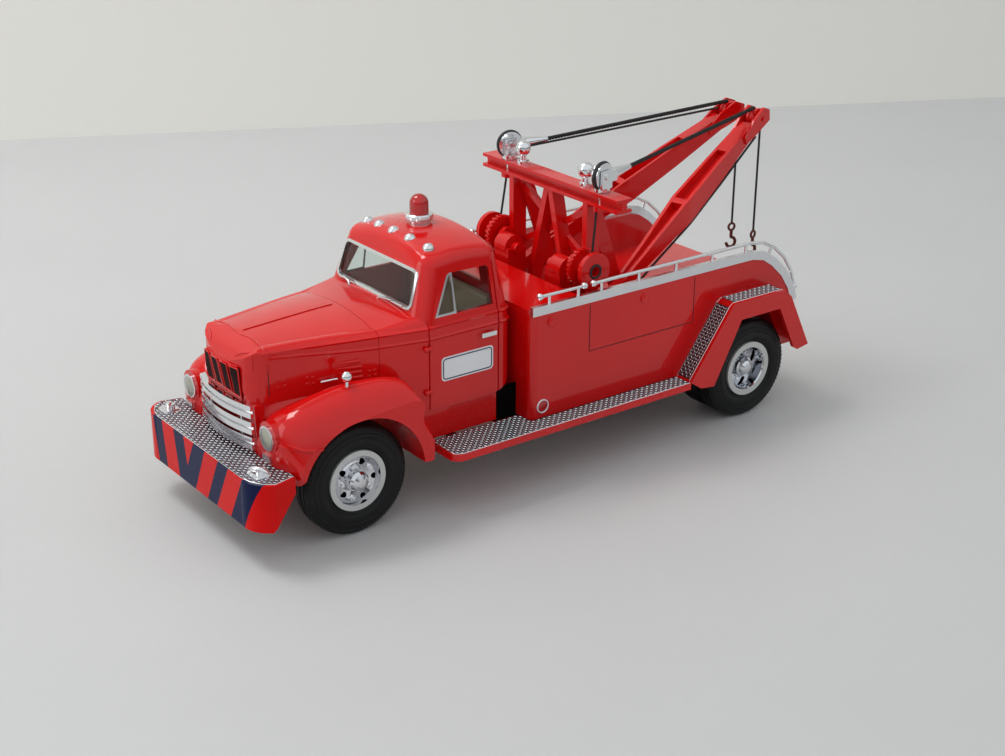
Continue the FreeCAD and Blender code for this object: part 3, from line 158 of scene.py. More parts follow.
# One straight slanted band on the bumper's face, from the y that it has at the top and at the bottom edge
def buildSlantedBand():
    group, given, result = shaderGroup("slantedBand", {
        "Left at top": 0.0, "Right at top": 0.006, "Left at bottom": -0.006, "Right at bottom": 0.0,
        "Top z": 0.022, "Bottom z": 0.0097}, {"Mask": "Float"})
    axes = put(group, "ShaderNodeSeparateXYZ", {0: objectPlace(group)})
    left, right = [span(group, axes["Z"], given["Bottom z"], given["Top z"], given[edge + " at bottom"],
                        given[edge + " at top"], clamp=False) for edge in ("Left", "Right")]
    feed(group, result, {"Mask": maths(group, "MULTIPLY", maths(group, "GREATER_THAN", axes["Y"], left),
                                       maths(group, "LESS_THAN", axes["Y"], right))})
    return group


# 1 beyond the given distance from an axle line, 0 inside it
def buildAxleDistance():
    group, given, result = shaderGroup("axleDistance", {
        "Axle x": 0.0, "Axle z": wheels["height"] * mm, "Edge": 0.0068}, {"Mask": "Float"})
    flat = put(group, "ShaderNodeVectorMath", {0: objectPlace(group), 1: (1.0, 0.0, 1.0)}, operation="MULTIPLY")[0]
    centre = put(group, "ShaderNodeCombineXYZ", {"X": given["Axle x"], "Z": given["Axle z"]})[0]
    reach = put(group, "ShaderNodeVectorMath", {0: flat, 1: centre}, operation="DISTANCE")["Value"]
    feed(group, result, {"Mask": maths(group, "GREATER_THAN", reach, given["Edge"])})
    return group


paintSkin, fineGrain, slantedBand, axleDistance = (
    buildPaintSkin(), buildGrain(), buildSlantedBand(), buildAxleDistance())


def newMaterial(name, **values):
    material = bpy.data.materials.new(name)
    material.use_nodes = True
    shader = material.node_tree.nodes["Principled BSDF"]
    for key, value in values.items():
        shader.inputs[key.replace("_", " ")].default_value = value
    return material, material.node_tree, shader


def useSkin(tree, shader, group, values):
    skin = put(tree, "ShaderNodeGroup", values, node_tree=group)
    feed(tree, shader, {"Base Color": skin["Colour"], "Roughness": skin["Roughness"], "Normal": skin["Normal"]})
    return skin


def paintMaterial(name, values, coat=0.5):
    material, tree, shader = newMaterial(name, Coat_Weight=coat, Coat_Roughness=0.03, Specular_IOR_Level=0.24)
    useSkin(tree, shader, paintSkin, values)
    return material


def grainMaterial(name, shade, worn, roughness=0.55, values=None, **shaderValues):
    material, tree, shader = newMaterial(name, **shaderValues)
    useSkin(tree, shader, fineGrain, {"Colour": colour(*shade), "Worn colour": colour(*worn),
                                      "Base roughness": roughness, **(values or {})})
    return material


redPaint = paintMaterial("redPaint", {})
bodyRed = paintMaterial("bodyRed", {"Cloud size": 22.0, "Base roughness": 0.15})
castRed = paintMaterial("castRed", {"Base roughness": 0.2, "Peel height": 0.1, "Marks": 0.1}, coat=0.35)
blackPaint = grainMaterial("blackPaint", (13, 13, 14), (150, 150, 152), 0.55, {"Wear share": 0.08}, Coat_Weight=0.15)
castBlock = grainMaterial("castBlock", (96, 98, 100), (140, 141, 142), Metallic=0.4)
bareSteel = grainMaterial("bareSteel", (168, 168, 170), (120, 120, 122), 0.28, {"Grain size": 1400.0, "Depth": 0.1},
                          Metallic=1.0)
tyreRubber = grainMaterial("tyreRubber", (11, 11, 12), (20, 20, 21), 0.36, {"Wear share": 0.4, "Depth": 0.1},
                           Specular_IOR_Level=0.3)
plateMetal = grainMaterial("plateMetal", (98, 88, 95), (78, 62, 70), 0.26, {"Wear size": 300.0}, Metallic=1.0)
signWhite = grainMaterial("signWhite", (236, 238, 240), (226, 228, 232), 0.3, {"Depth": 0.02}, Coat_Weight=0.4)
navyInk = grainMaterial("navyInk", palette["navy"], (36, 54, 104), 0.35, {"Depth": 0.02})
seamShade = grainMaterial("seamShade", (96, 8, 8), (74, 6, 6), 0.5)
deepShade = grainMaterial("deepShade", (9, 7, 8), (5, 4, 5), 0.7, Specular_IOR_Level=0.05)
slotShade = grainMaterial("slotShade", (34, 4, 4), (20, 3, 3), 0.6, Specular_IOR_Level=0.15)
tanPlastic = grainMaterial("tanPlastic", (186, 170, 140), (160, 143, 115), 0.4, {"Wear share": 0.4})
cableCord = grainMaterial("cableCord", (26, 26, 27), (60, 60, 62), 0.45, {"Wear size": 500.0})
hookBrown = grainMaterial("hookBrown", (92, 34, 24), (60, 24, 18), 0.4, {"Wear size": 300.0})
chrome = grainMaterial("chrome", (232, 233, 235), (214, 216, 220), 0.02,
                       {"Wear size": 200.0, "Depth": 0.03, "Grain size": 500.0}, Metallic=1.0)
satinMetal = grainMaterial("satinMetal", (226, 227, 230), (204, 206, 210), 0.08,
                           {"Wear size": 120.0, "Depth": 0.05, "Grain size": 1200.0}, Metallic=1.0)


def glassMaterial():
    material, tree, shader = newMaterial("windowGlass", Transmission_Weight=1.0, IOR=1.3,
                                         Base_Color=colour(240, 246, 243))
    dust = noise(tree, objectPlace(tree), 260.0, 4.0)
    feed(tree, shader, {"Roughness": span(tree, dust, 0.45, 0.9, 0.0, 0.06)})
    return material


# Ribbed lens, darker towards its edge as seen: painted shade in its colour
def lensMaterial(name, tint, ribs, weight=0.35):
    material, tree, shader = newMaterial(name, Transmission_Weight=weight, Coat_Weight=0.6, Coat_Roughness=0.03,
                                         Roughness=0.1)
    clouded, dark = [tuple(v * share for v in tint[:3]) + (1.0,) for share in (0.82, 0.3)]
    place = objectPlace(tree)
    wave = put(tree, "ShaderNodeTexWave", {"Vector": place, "Scale": ribs}, bands_direction="Y")["Fac"]
    # Painted shade: the colour darkens where the lens turns away from the view
    edge = put(tree, "ShaderNodeLayerWeight", {"Blend": 0.4})["Facing"]
    face = mixed(tree, noise(tree, place, 160.0), tint, clouded)
    feed(tree, shader, {"Base Color": mixed(tree, edge, face, dark), "Normal": bumped(tree, wave, 0.1)})
    return material


windowGlass = glassMaterial()
creamLens = lensMaterial("creamLens", colour(226, 226, 206), 160.0)
redLens = lensMaterial("redLens", colour(216, 6, 8), 220.0, weight=0.12)


# Red face with dark blue bands, each given as (left, right) at the top edge and (left, right) at the bottom edge
bumperStripes = {
    "topZ": 22.0, "bottomZ": 9.7,
    "bands": [((-24.5, -19.6), (-22.8, -17.8)), ((-12.8, -7.0), (-10.8, -5.0)), ((-2.7, 3.6), (-9.2, -2.4)),
              ((10.6, 16.0), (4.2, 9.3)), ((23.3, 29.5), (16.6, 24.1))],
}


def stripedPaint():
    material, tree, shader = newMaterial("stripedPaint", Coat_Weight=0.06, Coat_Roughness=0.05,
                                         Specular_IOR_Level=0.08)
    skin = useSkin(tree, shader, paintSkin, {})
    mask = 0.0
    for (leftTop, rightTop), (leftLow, rightLow) in bumperStripes["bands"]:
        places = {"Left at top": leftTop, "Right at top": rightTop, "Left at bottom": leftLow,
                  "Right at bottom": rightLow, "Top z": bumperStripes["topZ"], "Bottom z": bumperStripes["bottomZ"]}
        band = put(tree, "ShaderNodeGroup", {key: value * mm for key, value in places.items()}, node_tree=slantedBand)
        mask = maths(tree, "MAXIMUM", mask, band["Mask"])
    feed(tree, shader, {"Base Color": mixed(tree, mask, skin["Colour"], colour(*palette["navy"]))})
    return material


# Wheel rims: polished inside the given distance from the axle line, pale satin on the flange outside it
def rimMaterial(name, axleX, edge):
    material, tree, shader = newMaterial(name)
    grain = noise(tree, objectPlace(tree), 700.0, 3.0)
    zone = put(tree, "ShaderNodeGroup", {"Axle x": axleX * mm, "Edge": edge * mm}, node_tree=axleDistance)["Mask"]
    polished = mixed(tree, grain, colour(226, 227, 230), colour(206, 208, 212))
    feed(tree, shader, {"Base Color": mixed(tree, zone, polished, colour(205, 206, 204)),
                        "Roughness": span(tree, zone, toMin=0.04, toMax=0.42),
                        "Metallic": span(tree, zone, toMin=1.0, toMax=0.35)})
    return material


finishes = {
    rimMaterial("frontRimMetal", wheels["frontX"], 6.85): ["front_rims"],
    rimMaterial("rearRimMetal", wheels["rearX"], 6.6): ["rear_rims"],
    bodyRed: ["cab_shell", "hood", "front_fenders", "tow_body", "rear_fenders"],
    redPaint: ["running_boards", "tail_step", "bed_supports"],
    castRed: ["mast_frame", "mast_beam", "winch_housings", "winch_drum_left", "winch_drum_right", "boom_left",
              "boom_right", "boom_head_left", "boom_head_right"],
    stripedPaint(): ["bumper"],
    blackPaint: ["frame_rails", "cross_members", "leaf_springs", "front_axle_beam", "rear_axle_housing",
                 "drive_shaft", "fuel_tank", "exhaust_pipe"],
    castBlock: ["engine_block"],
    bareSteel: ["front_axle_shaft", "rear_axle_shaft", "boom_pins"],
    tyreRubber: ["front_tyres", "rear_tyres"],
    chrome: ["fender_lamps", "parking_lamps", "window_trims", "door_handles", "grille_bars", "headlight_rims",
             "bumper_hooks", "roof_markers", "beacon_base", "side_rails", "spot_lamps", "mast_sheave_left",
             "mast_sheave_right"],
    satinMetal: ["side_trim"],
    windowGlass: ["cab_glazing"],
    tanPlastic: ["cab_floor", "seat", "dashboard", "steering_wheel"],
    creamLens: ["headlight_lenses"],
    redLens: ["beacon_dome", "tail_lamps"],
    cableCord: ["boom_lines_left", "boom_lines_right"],
    hookBrown: ["tow_hook_left", "tow_hook_right"],
}
for material, names in finishes.items():
    for name in names:
        nodes[name].data.materials.clear()
        nodes[name].data.materials.append(material)
print("finishes given; plain nodes:", sorted(set(nodes).difference(*finishes.values())))


# Forms: plain meshes, turned rings, and carriers that the node trees grow on

def finishPiece(name, mesh, material, body, angle):
    form = bmesh.new()
    form.from_mesh(mesh)
    bmesh.ops.remove_doubles(form, verts=form.verts, dist=0.0004 * mm)
    bmesh.ops.recalc_face_normals(form, faces=form.faces)
    form.to_mesh(mesh)
    form.free()
    mesh.materials.clear()
    mesh.materials.append(material)
    for polygon in mesh.polygons:
        polygon.material_index = 0
        polygon.use_smooth = True
    mesh.set_sharp_from_angle(angle=math.radians(angle))
    piece = bpy.data.objects.new(name, mesh)
    bpy.context.scene.collection.objects.link(piece)
    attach(piece, body)
    return piece


def meshOf(name, forms):
    points, faces = [], []
    for formPoints, formFaces in forms:
        faces += [tuple(len(points) + n for n in face) for face in formFaces]
        points += [Vector(p) * mm for p in formPoints]
    mesh = bpy.data.meshes.new(name)
    mesh.from_pydata(points, [], faces)
    return mesh


def addPiece(name, forms, material, body="truck", angle=35):
    return finishPiece(name, meshOf(name, forms), material, body, angle)


def evenSteps(first, last, count):
    return [first + (last - first) * k / count for k in range(count + 1)]


# A (radius, height) profile turned round an axis; closed joins its last point to its first
def lathe(profile, centre, count, axis=(0, 1, 0), closed=True):
    axis = Vector(axis).normalized()
    side = axis.orthogonal().normalized()
    other = axis.cross(side)
    points, faces = [], []
    for k in range(count):
        angle = 2 * math.pi * k / count
        out = side * math.cos(angle) + other * math.sin(angle)
        points += [Vector(centre) + out * radius + axis * height for radius, height in profile]
    size = len(profile)
    for k in range(count):
        here, there = k * size, ((k + 1) % count) * size
        for n in range(size if closed else size - 1):
            m = (n + 1) % size
            faces.append((here + n, there + n, there + m, here + m))
    return points, faces


def mirrored(form):
    points, faces = form
    return [(p[0], -p[1], p[2]) for p in points], [tuple(reversed(face)) for face in faces]


def bothSides(form):
    return [form, mirrored(form)]


# A flat outline given thickness along a direction
def slab(outline, depth):
    count = len(outline)
    points = [Vector(p) for p in outline] + [Vector(p) + Vector(depth) for p in outline]
    faces = [tuple(range(count)), tuple(reversed(range(count, 2 * count)))]
    faces += [(n, n + count, (n + 1) % count + count, (n + 1) % count) for n in range(count)]
    return points, faces


# Rows of points closed into a sheet with a copy of them moved by the given step
def thickSheet(rows, step):
    across, half = len(rows[0]), len(rows) * len(rows[0])
    points = [Vector(p) + Vector(move) for move in ((0, 0, 0), step) for row in rows for p in row]
    starts = [row * across for row in range(len(rows))]
    faces = []
    for here, there in zip(starts, starts[1:]):
        for a, b in zip(range(here, here + across - 1), range(there, there + across - 1)):
            faces += [(a, b, b + 1, a + 1), (half + a, half + a + 1, half + b + 1, half + b)]
    loop = [*range(across - 1), *[start + across - 1 for start in starts[:-1]],
            *range(half - 1, starts[-1], -1), *reversed(starts[1:])]
    return points, faces + [(a, b, half + b, half + a) for a, b in zip(loop, loop[1:] + loop[:1])]


# Paths of (x, y, z) or (x, y, z, size), as edges that a tree turns into curves
def pathCarrier(paths):
    points, edges, sizes = [], [], []
    for path in paths:
        start = len(points)
        for step, place in enumerate(path):
            points.append(Vector(place[:3]) * mm)
            sizes.append(place[3] if len(place) > 3 else 1.0)
            if step:
                edges.append((start + step - 1, start + step))
    mesh = bpy.data.meshes.new("paths")
    mesh.from_pydata(points, edges, [])
    mesh.attributes.new("size", "FLOAT", "POINT").data.foreach_set("value", sizes)
    return mesh


# Spots of (place, facing, turn), as points that a tree sets a stud on
def spotCarrier(spots):
    mesh = bpy.data.meshes.new("spots")
    mesh.from_pydata([Vector(spot[0]) * mm for spot in spots], [], [])
    facing = [v for spot in spots for v in Vector(spot[1]).normalized()]
    turns = [math.radians(spot[2]) if len(spot) > 2 else 0.0 for spot in spots]
    mesh.attributes.new("facing", "FLOAT_VECTOR", "POINT").data.foreach_set("vector", facing)
    mesh.attributes.new("lean", "FLOAT", "POINT").data.foreach_set("value", turns)
    return mesh


# A run between two points with rounded ends, for bars, beads and handles of the given radius
def roundedRun(start, end, radius, middle=()):
    start, end = Vector(start), Vector(end)
    along = (end - start).normalized() * radius
    tips = [(0.0, 0.08), (0.1, 0.5), (0.4, 0.85), (1.0, 1.0)]
    run = [(*(start + along * share), size) for share, size in tips]
    run += [(*start.lerp(end, share), size) for share, size in middle]
    return run + [(*(end - along * share), size) for share, size in reversed(tips)]


def flipped(path):
    return [(place[0], -place[1]) + tuple(place[2:]) for place in path]


def onBothSides(paths):
    return paths + [flipped(path) for path in paths]


def spotsOnBothSides(spots):
    other = [((s[0][0], -s[0][1], s[0][2]), (s[1][0], -s[1][1], s[1][2]), *[-turn for turn in s[2:]]) for s in spots]
    return spots + other


# Node trees

def newTree(name, inputs):
    tree = bpy.data.node_groups.new(name, "GeometryNodeTree")
    for label in ("Geometry", "Material"):
        tree.interface.new_socket(label, in_out="INPUT", socket_type="NodeSocket" + label)
    return (tree, *declare(tree, inputs, {"Geometry": "Geometry"}))


# Every tree ends the same way: instances made real, then the piece's material
def endTree(tree, given, result, geometry):
    real = put(tree, "GeometryNodeRealizeInstances", {0: geometry})[0]
    feed(tree, result, {0: put(tree, "GeometryNodeSetMaterial", {0: real, "Material": given["Material"]})[0]})
    return tree


def attribute(tree, name, kind="FLOAT"):
    return put(tree, "GeometryNodeInputNamedAttribute", {"Name": name}, data_type=kind)[0]


# A stud on each point, stood on its facing and turned by its lean
def stoodOn(tree, points, stud, facing, lean):
    stand = put(tree, "FunctionNodeAlignRotationToVector", {"Vector": facing}, axis="Z")[0]
    turn = put(tree, "FunctionNodeAxisAngleToRotation", {"Axis": (0.0, 0.0, 1.0), "Angle": lean})[0]
    both = put(tree, "FunctionNodeRotateRotation", {"Rotation": stand, "Rotate By": turn}, rotation_space="LOCAL")[0]
    return put(tree, "GeometryNodeInstanceOnPoints", {"Points": points, "Instance": stud, "Rotation": both})[0]


def stoodOnSpots(tree, given, stud):
    points = put(tree, "GeometryNodeMeshToPoints", {"Mesh": given["Geometry"]})[0]
    return stoodOn(tree, points, stud, attribute(tree, "facing", "FLOAT_VECTOR"), attribute(tree, "lean"))


# Round bead along each path, its thickness scaled by the path's size
def buildBead():
    tree, given, result = newTree("beadAlongPath", {"Radius": 0.0005, "Sides": 8})
    curve = put(tree, "GeometryNodeMeshToCurve", {0: given["Geometry"]})[0]
    section = put(tree, "GeometryNodeCurvePrimitiveCircle", {"Radius": given["Radius"],
                                                             "Resolution": given["Sides"]})[0]
    return endTree(tree, given, result, put(tree, "GeometryNodeCurveToMesh", {
        "Curve": curve, "Profile Curve": section, "Scale": attribute(tree, "size"), "Fill Caps": True})[0])


# Laid cable: a lobed section that turns as it runs along the path
def buildCable():
    tree, given, result = newTree("laidCable", {"Radius": 0.0005, "Strands": 5, "Step": 0.0004,
                                                "Twist per metre": 2600.0})
    curve = put(tree, "GeometryNodeMeshToCurve", {0: given["Geometry"]})[0]
    even = put(tree, "GeometryNodeResampleCurve", {"Curve": curve, "Length": given["Step"]}, mode="LENGTH")[0]
    twist = maths(tree, "MULTIPLY", put(tree, "GeometryNodeSplineParameter")["Length"], given["Twist per metre"])
    tilted = put(tree, "GeometryNodeSetCurveTilt", {"Curve": even, "Tilt": twist})[0]
    section = put(tree, "GeometryNodeCurveStar", {
        "Points": given["Strands"], "Outer Radius": given["Radius"],
        "Inner Radius": maths(tree, "MULTIPLY", given["Radius"], 0.74), "Twist": 0.0})[0]
    return endTree(tree, given, result, put(tree, "GeometryNodeCurveToMesh", {
        "Curve": tilted, "Profile Curve": section, "Fill Caps": True})[0])


# Bolt or rivet head with a low collar, stood on each spot
def buildHeads():
    tree, given, result = newTree("boltHeads", {"Radius": 0.0006, "Height": 0.0004, "Sides": 6, "Taper": 0.86})
    radius, height = given["Radius"], given["Height"]
    collar = put(tree, "GeometryNodeMeshCone", {
        "Vertices": 14, "Radius Bottom": maths(tree, "MULTIPLY", radius, 1.3), "Radius Top": radius,
        "Depth": maths(tree, "MULTIPLY", height, 0.28)})[0]
    head = put(tree, "GeometryNodeMeshCone", {
        "Vertices": given["Sides"], "Radius Bottom": radius, "Depth": height,
        "Radius Top": maths(tree, "MULTIPLY", radius, given["Taper"])})[0]
    both = put(tree, "GeometryNodeJoinGeometry", {0: [collar, head]})[0]
    return endTree(tree, given, result, stoodOnSpots(tree, given, both))


# Small blocks that narrow upward, such as tread lugs, stood on each spot
def buildLugs():
    tree, given, result = newTree("treadLugs", {"Size": (0.0005, 0.0012, 0.0003), "Taper": 0.8})
    halfDiagonal = 0.7071
    block = put(tree, "GeometryNodeMeshCone", {
        "Vertices": 4, "Radius Bottom": halfDiagonal, "Depth": 1.0,
        "Radius Top": maths(tree, "MULTIPLY", given["Taper"], halfDiagonal)})[0]
    square = put(tree, "GeometryNodeTransform", {0: block, "Rotation": (0.0, 0.0, math.pi / 4)})[0]
    shape = put(tree, "GeometryNodeTransform", {0: square, "Scale": given["Size"]})[0]
    return endTree(tree, given, result, stoodOnSpots(tree, given, shape))


# Raised lozenges on the cells of a plate, leaning one way and the other like the squares of a board
def buildTread():
    tree, given, result = newTree("treadLozenges", {"Length": 0.0009, "Width": 0.0004, "Height": 0.0002})
    keep = tree.nodes.new("GeometryNodeCaptureAttribute")
    keep.domain = "FACE"
    keep.capture_items.new("VECTOR", "facing")
    feed(tree, keep, {"Geometry": given["Geometry"], "facing": put(tree, "GeometryNodeInputNormal")[0]})
    lean = attribute(tree, "lean")
    cells = maths(tree, "GREATER_THAN", maths(tree, "ABSOLUTE", lean), 0.01)
    points = put(tree, "GeometryNodeMeshToPoints", {"Mesh": keep.outputs["Geometry"], "Selection": cells},
                 mode="FACES")[0]
    stud = put(tree, "GeometryNodeMeshCone", {"Vertices": 4, "Radius Bottom": 0.5, "Radius Top": 0.2,
                                              "Depth": 1.0})[0]
    sizes = put(tree, "ShaderNodeCombineXYZ", {0: given["Length"], 1: given["Width"], 2: given["Height"]})[0]
    shape = put(tree, "GeometryNodeTransform", {0: stud, "Scale": sizes})[0]
    return endTree(tree, given, result, stoodOn(tree, points, shape, keep.outputs["facing"], lean))


beadAlongPath, laidCable, boltHeads, treadLugs, treadLozenges = (
    buildBead(), buildCable(), buildHeads(), buildLugs(), buildTread())


# Runs a tree on a carrier and keeps the result as a plain mesh
def grow(name, tree, carrierMesh, values, material, body="truck", angle=35):
    holder = bpy.data.objects.new(name + "Carrier", carrierMesh)
    bpy.context.scene.collection.objects.link(holder)
    modifier = holder.modifiers.new("grow", "NODES")
    modifier.node_group = tree
    values = {**values, "Material": material}
    for item in tree.interface.items_tree:
        if item.in_out == "INPUT" and item.name in values:
            modifier[item.identifier] = values[item.name]
    graph = bpy.context.evaluated_depsgraph_get()
    mesh = bpy.data.meshes.new_from_object(holder.evaluated_get(graph))
    mesh.name = name
    bpy.data.objects.remove(holder)
    bpy.data.meshes.remove(carrierMesh)
    return finishPiece(name, mesh, material, body, angle)


def beads(name, paths, radius, material, sides=8):
    return grow(name, beadAlongPath, pathCarrier(paths), {"Radius": radius * mm, "Sides": sides}, material, angle=50)


def heads(name, spots, radius, height, material, body="truck", sides=6, taper=0.86):
    return grow(name, boltHeads, spotCarrier(spots),
                {"Radius": radius * mm, "Height": height * mm, "Sides": sides, "Taper": taper}, material, body)


def cable(name, paths, radius, step, twist, body="truck"):
    return grow(name, laidCable, pathCarrier(paths),
                {"Radius": radius * mm, "Step": step * mm, "Twist per metre": twist}, cableCord, body)


print("forms and node trees ready")


# Where pieces sit: the surface of a node that a line from outside meets, in millimetres

def skinOf(node):
    mesh = nodes[node].data
    turn = nodes[node].matrix_world
    return BVHTree.FromPolygons([turn @ v.co / mm for v in mesh.vertices], [tuple(p.vertices) for p in mesh.polygons])


def seat(skin, start, toward):
    place, facing, _, _ = skin.ray_cast(Vector(start), Vector(toward).normalized())
    if place is None:
        print("no surface under", start)
        return Vector(start), -Vector(toward).normalized()
    return place, -facing if facing.dot(Vector(toward)) > 0 else facing


# The left side of a skin over (x, z), met from well outside it
def onSide(skin, x, z):
    return seat(skin, (x, 60, z), (0, -1, 0))


def laidOnSide(skin, places, lift=0.0):
    return [onSide(skin, x, z)[0] + Vector((0, lift, 0)) for x, z in places]


cabSkin, hoodSkin, bodySkin, fenderSkin = [skinOf(n) for n in ("cab_shell", "hood", "tow_body", "front_fenders")]


# Tread plate: a thin sheet with raised lozenges, leaning one way and the other in turn
tread = {"pitch": 0.94, "length": 0.92, "width": 0.3, "height": 0.15, "thick": 0.1, "margin": 0.3, "lean": 43.0}


def insideOutline(u, v, outline):
    inside = False
    for (u0, v0), (u1, v1) in zip(outline, outline[1:] + outline[:1]):
        if (v0 > v) != (v1 > v) and u < u0 + (v - v0) * (u1 - u0) / (v1 - v0):
            inside = not inside
    return inside


# Places, in the plane of a plate, of its square cells; each comes with the lean of its lozenge
def plateCells(place, along, across, outline):
    up = along.cross(across)
    pitch = tread["pitch"]
    us, vs = zip(*outline)
    half = pitch / 2 - tread["margin"]
    points, faces, leans = [], [], []
    columns = int((max(us) - min(us)) / pitch)
    rows = int((max(vs) - min(vs)) / pitch)
    for i in range(columns):
        for j in range(rows):
            u = (min(us) + max(us)) / 2 + (i + 0.5 - columns / 2) * pitch
            v = (min(vs) + max(vs)) / 2 + (j + 0.5 - rows / 2) * pitch
            corners = [(u - half, v - half), (u + half, v - half), (u + half, v + half), (u - half, v + half)]
            if all(insideOutline(a, b, outline) for a, b in corners):
                start = len(points)
                points += [place + along * a + across * b + up * tread["thick"] for a, b in corners]
                faces.append((start, start + 1, start + 2, start + 3))
                leans.append(math.radians(tread["lean"]) * (1 if (i + j) % 2 else -1))
    return (points, faces), leans


def treadPlate(name, plates, sides=True):
    cellForms, leans, sheets = [], [], []
    for place, along, across, outline in plates:
        place, along, across = Vector(place), Vector(along).normalized(), Vector(across).normalized()
        cells, turns = plateCells(place, along, across, outline)
        sheet = slab([place + along * u + across * v for u, v in outline], along.cross(across) * tread["thick"])
        cellForms += bothSides(cells) if sides else [cells]
        leans += turns + [-turn for turn in turns] if sides else turns
        sheets += bothSides(sheet) if sides else [sheet]
    addPiece(name + "Sheets", sheets, plateMetal)
    cellMesh = meshOf("cells", cellForms)
    cellMesh.attributes.new("lean", "FLOAT", "FACE").data.foreach_set("value", leans)
    grow(name, treadLozenges, cellMesh, {key.title(): tread[key] * mm for key in ("length", "width", "height")},
         chrome)


boardEdge = [(11.2, 23.8), (40.6, 23.8), (40.6, 32.6), (39.9, 34.4), (38.0, 35.15), (-42.2, 35.15), (-42.2, 28.95),
             (11.2, 28.95)]
boardHeight = 18.3
treadPlate("boardTread", [((0, 0, boardHeight), (1, 0, 0), (0, 1, 0), boardEdge)])

bumperHeight, apronDepth = 23.6, 1.1
bumperEdge = [(96.9, -23.1), (96.9, 23.1), (96.2, 26.4), (94.6, 29.4), (92.0, 31.4), (86.2, 30.0), (85.6, 14.4),
              (84.4, 13.3), (84.4, -13.3), (85.6, -14.4), (86.2, -30.0), (92.0, -31.4), (94.6, -29.4), (96.2, -26.4)]
apronEdge = [(x, y, bumperHeight - apronDepth) for x, y in ((84.4, -13.6), (90.6, -13.6), (90.6, 13.6), (84.4, 13.6))]
addPiece("bumperApron", [slab(apronEdge, (0, 0, apronDepth))], redPaint)
treadPlate("bumperTread", [((0, 0, bumperHeight), (1, 0, 0), (0, 1, 0), bumperEdge)], sides=False)

# Plates over the rear fenders, in straight bits; the shortest bits stay bare
rearBand = {"inner": 28.95, "outer": 34.2, "shortest": 3.0, "end": 0.3,
            "line": [(-42.8, 18.6), (-57.3, 38.3), (-58.7, 39.2), (-78.5, 39.2), (-81.7, 36.7), (-90.4, 19.8)]}
bandWidth = rearBand["outer"] - rearBand["inner"]
bandPlates = []
for (x0, z0), (x1, z1) in zip(rearBand["line"], rearBand["line"][1:]):
    run = Vector((x0 - x1, 0, z0 - z1))
    if run.length > rearBand["shortest"]:
        ends = rearBand["end"], run.length - rearBand["end"]
        bandPlates.append(((x1, rearBand["inner"], z1), run, (0, 1, 0),
                           [(ends[0], 0), (ends[1], 0), (ends[1], bandWidth), (ends[0], bandWidth)]))
treadPlate("fenderTread", bandPlates)

# Light edges along the plates
boardRim = [(x, y, boardHeight + tread["thick"]) for x, y in boardEdge[1:6]]
bumperRim = [(x, y, bumperHeight + tread["thick"]) for x, y in bumperEdge]
beads("plateEdges", onBothSides([boardRim]) + [bumperRim + bumperRim[:1]], 0.13, chrome, sides=6)
bandRims = [[(x, y, z) for x, z in rearBand["line"]] for y in (rearBand["inner"] + 0.1, rearBand["outer"])]
beads("bandEdges", onBothSides(bandRims), 0.14, chrome, sides=6)
print("tread plates made")


# Slanted ribs on the skirt under each door
skirtRibs = {"first": 38.2, "last": 22.2, "spans": 18, "low": 18.6, "high": 26.2, "slope": 0.62, "radius": 0.24,
             "end": 18.6, "lift": 0.05}
ribs = []
for foot in evenSteps(skirtRibs["first"], skirtRibs["last"], skirtRibs["spans"]):
    heights = evenSteps(skirtRibs["low"], skirtRibs["high"], 6)
    places = [(foot - skirtRibs["slope"] * (z - heights[0]), z) for z in heights]
    rib = [(*laidOnSide(cabSkin, [(x, z)], skirtRibs["lift"])[0], 0.5 if z in (heights[0], heights[-1]) else 1.0)
           for x, z in places if x > skirtRibs["end"]]
    if len(rib) > 1:
        ribs.append(rib)
beads("skirtRibs", onBothSides(ribs), skirtRibs["radius"], bodyRed, sides=6)

# Hood sides: four louvres that taper forward, rivets in fours, a chrome handle
louvre = {"lift": 0.05, "radius": 0.62,
          "sizes": [(0.0, 0.1), (0.03, 0.75), (0.1, 1.0), (0.35, 0.9), (0.7, 0.6), (1.0, 0.15)],
          "ends": [((59.2, 44.6), (66.1, 44.7)), ((58.7, 43.0), (65.4, 43.3)), ((58.7, 41.6), (65.0, 41.8)),
                   ((58.5, 40.1), (64.1, 40.5))]}
louvres = []
for start, end in louvre["ends"]:
    places = [Vector(start).lerp(Vector(end), share) for share, size in louvre["sizes"]]
    seated = laidOnSide(hoodSkin, places, louvre["lift"])
    louvres.append([(*place, size) for place, (share, size) in zip(seated, louvre["sizes"])])
beads("hoodLouvres", onBothSides(louvres), louvre["radius"], bodyRed, sides=10)

hoodRivets = [(80.6, 42.4), (78.9, 42.4), (80.5, 40.8), (78.9, 40.9), (71.6, 41.9), (73.0, 42.1), (71.6, 40.2),
              (73.0, 40.4), (56.8, 41.1), (55.3, 41.2), (56.8, 39.7), (55.2, 39.8)]
heads("hoodRivets", spotsOnBothSides([onSide(hoodSkin, x, z) for x, z in hoodRivets]), 0.36, 0.4, bodyRed,
      sides=10, taper=0.6)

handle = {"ends": ((70.2, 40.7), (65.6, 40.9)), "out": 0.9, "radius": 0.42}
ends = [onSide(hoodSkin, x, z)[0] for x, z in handle["ends"]]
lift = Vector((0, handle["out"], 0))
posts = [[(*p, 1.0), (*(p + lift), 1.0)] for p in (ends[0].lerp(ends[1], 0.2), ends[0].lerp(ends[1], 0.8))]
beads("hoodHandles", onBothSides([roundedRun(ends[0] + lift, ends[1] + lift, handle["radius"])] + posts),
      handle["radius"], chrome, sides=10)

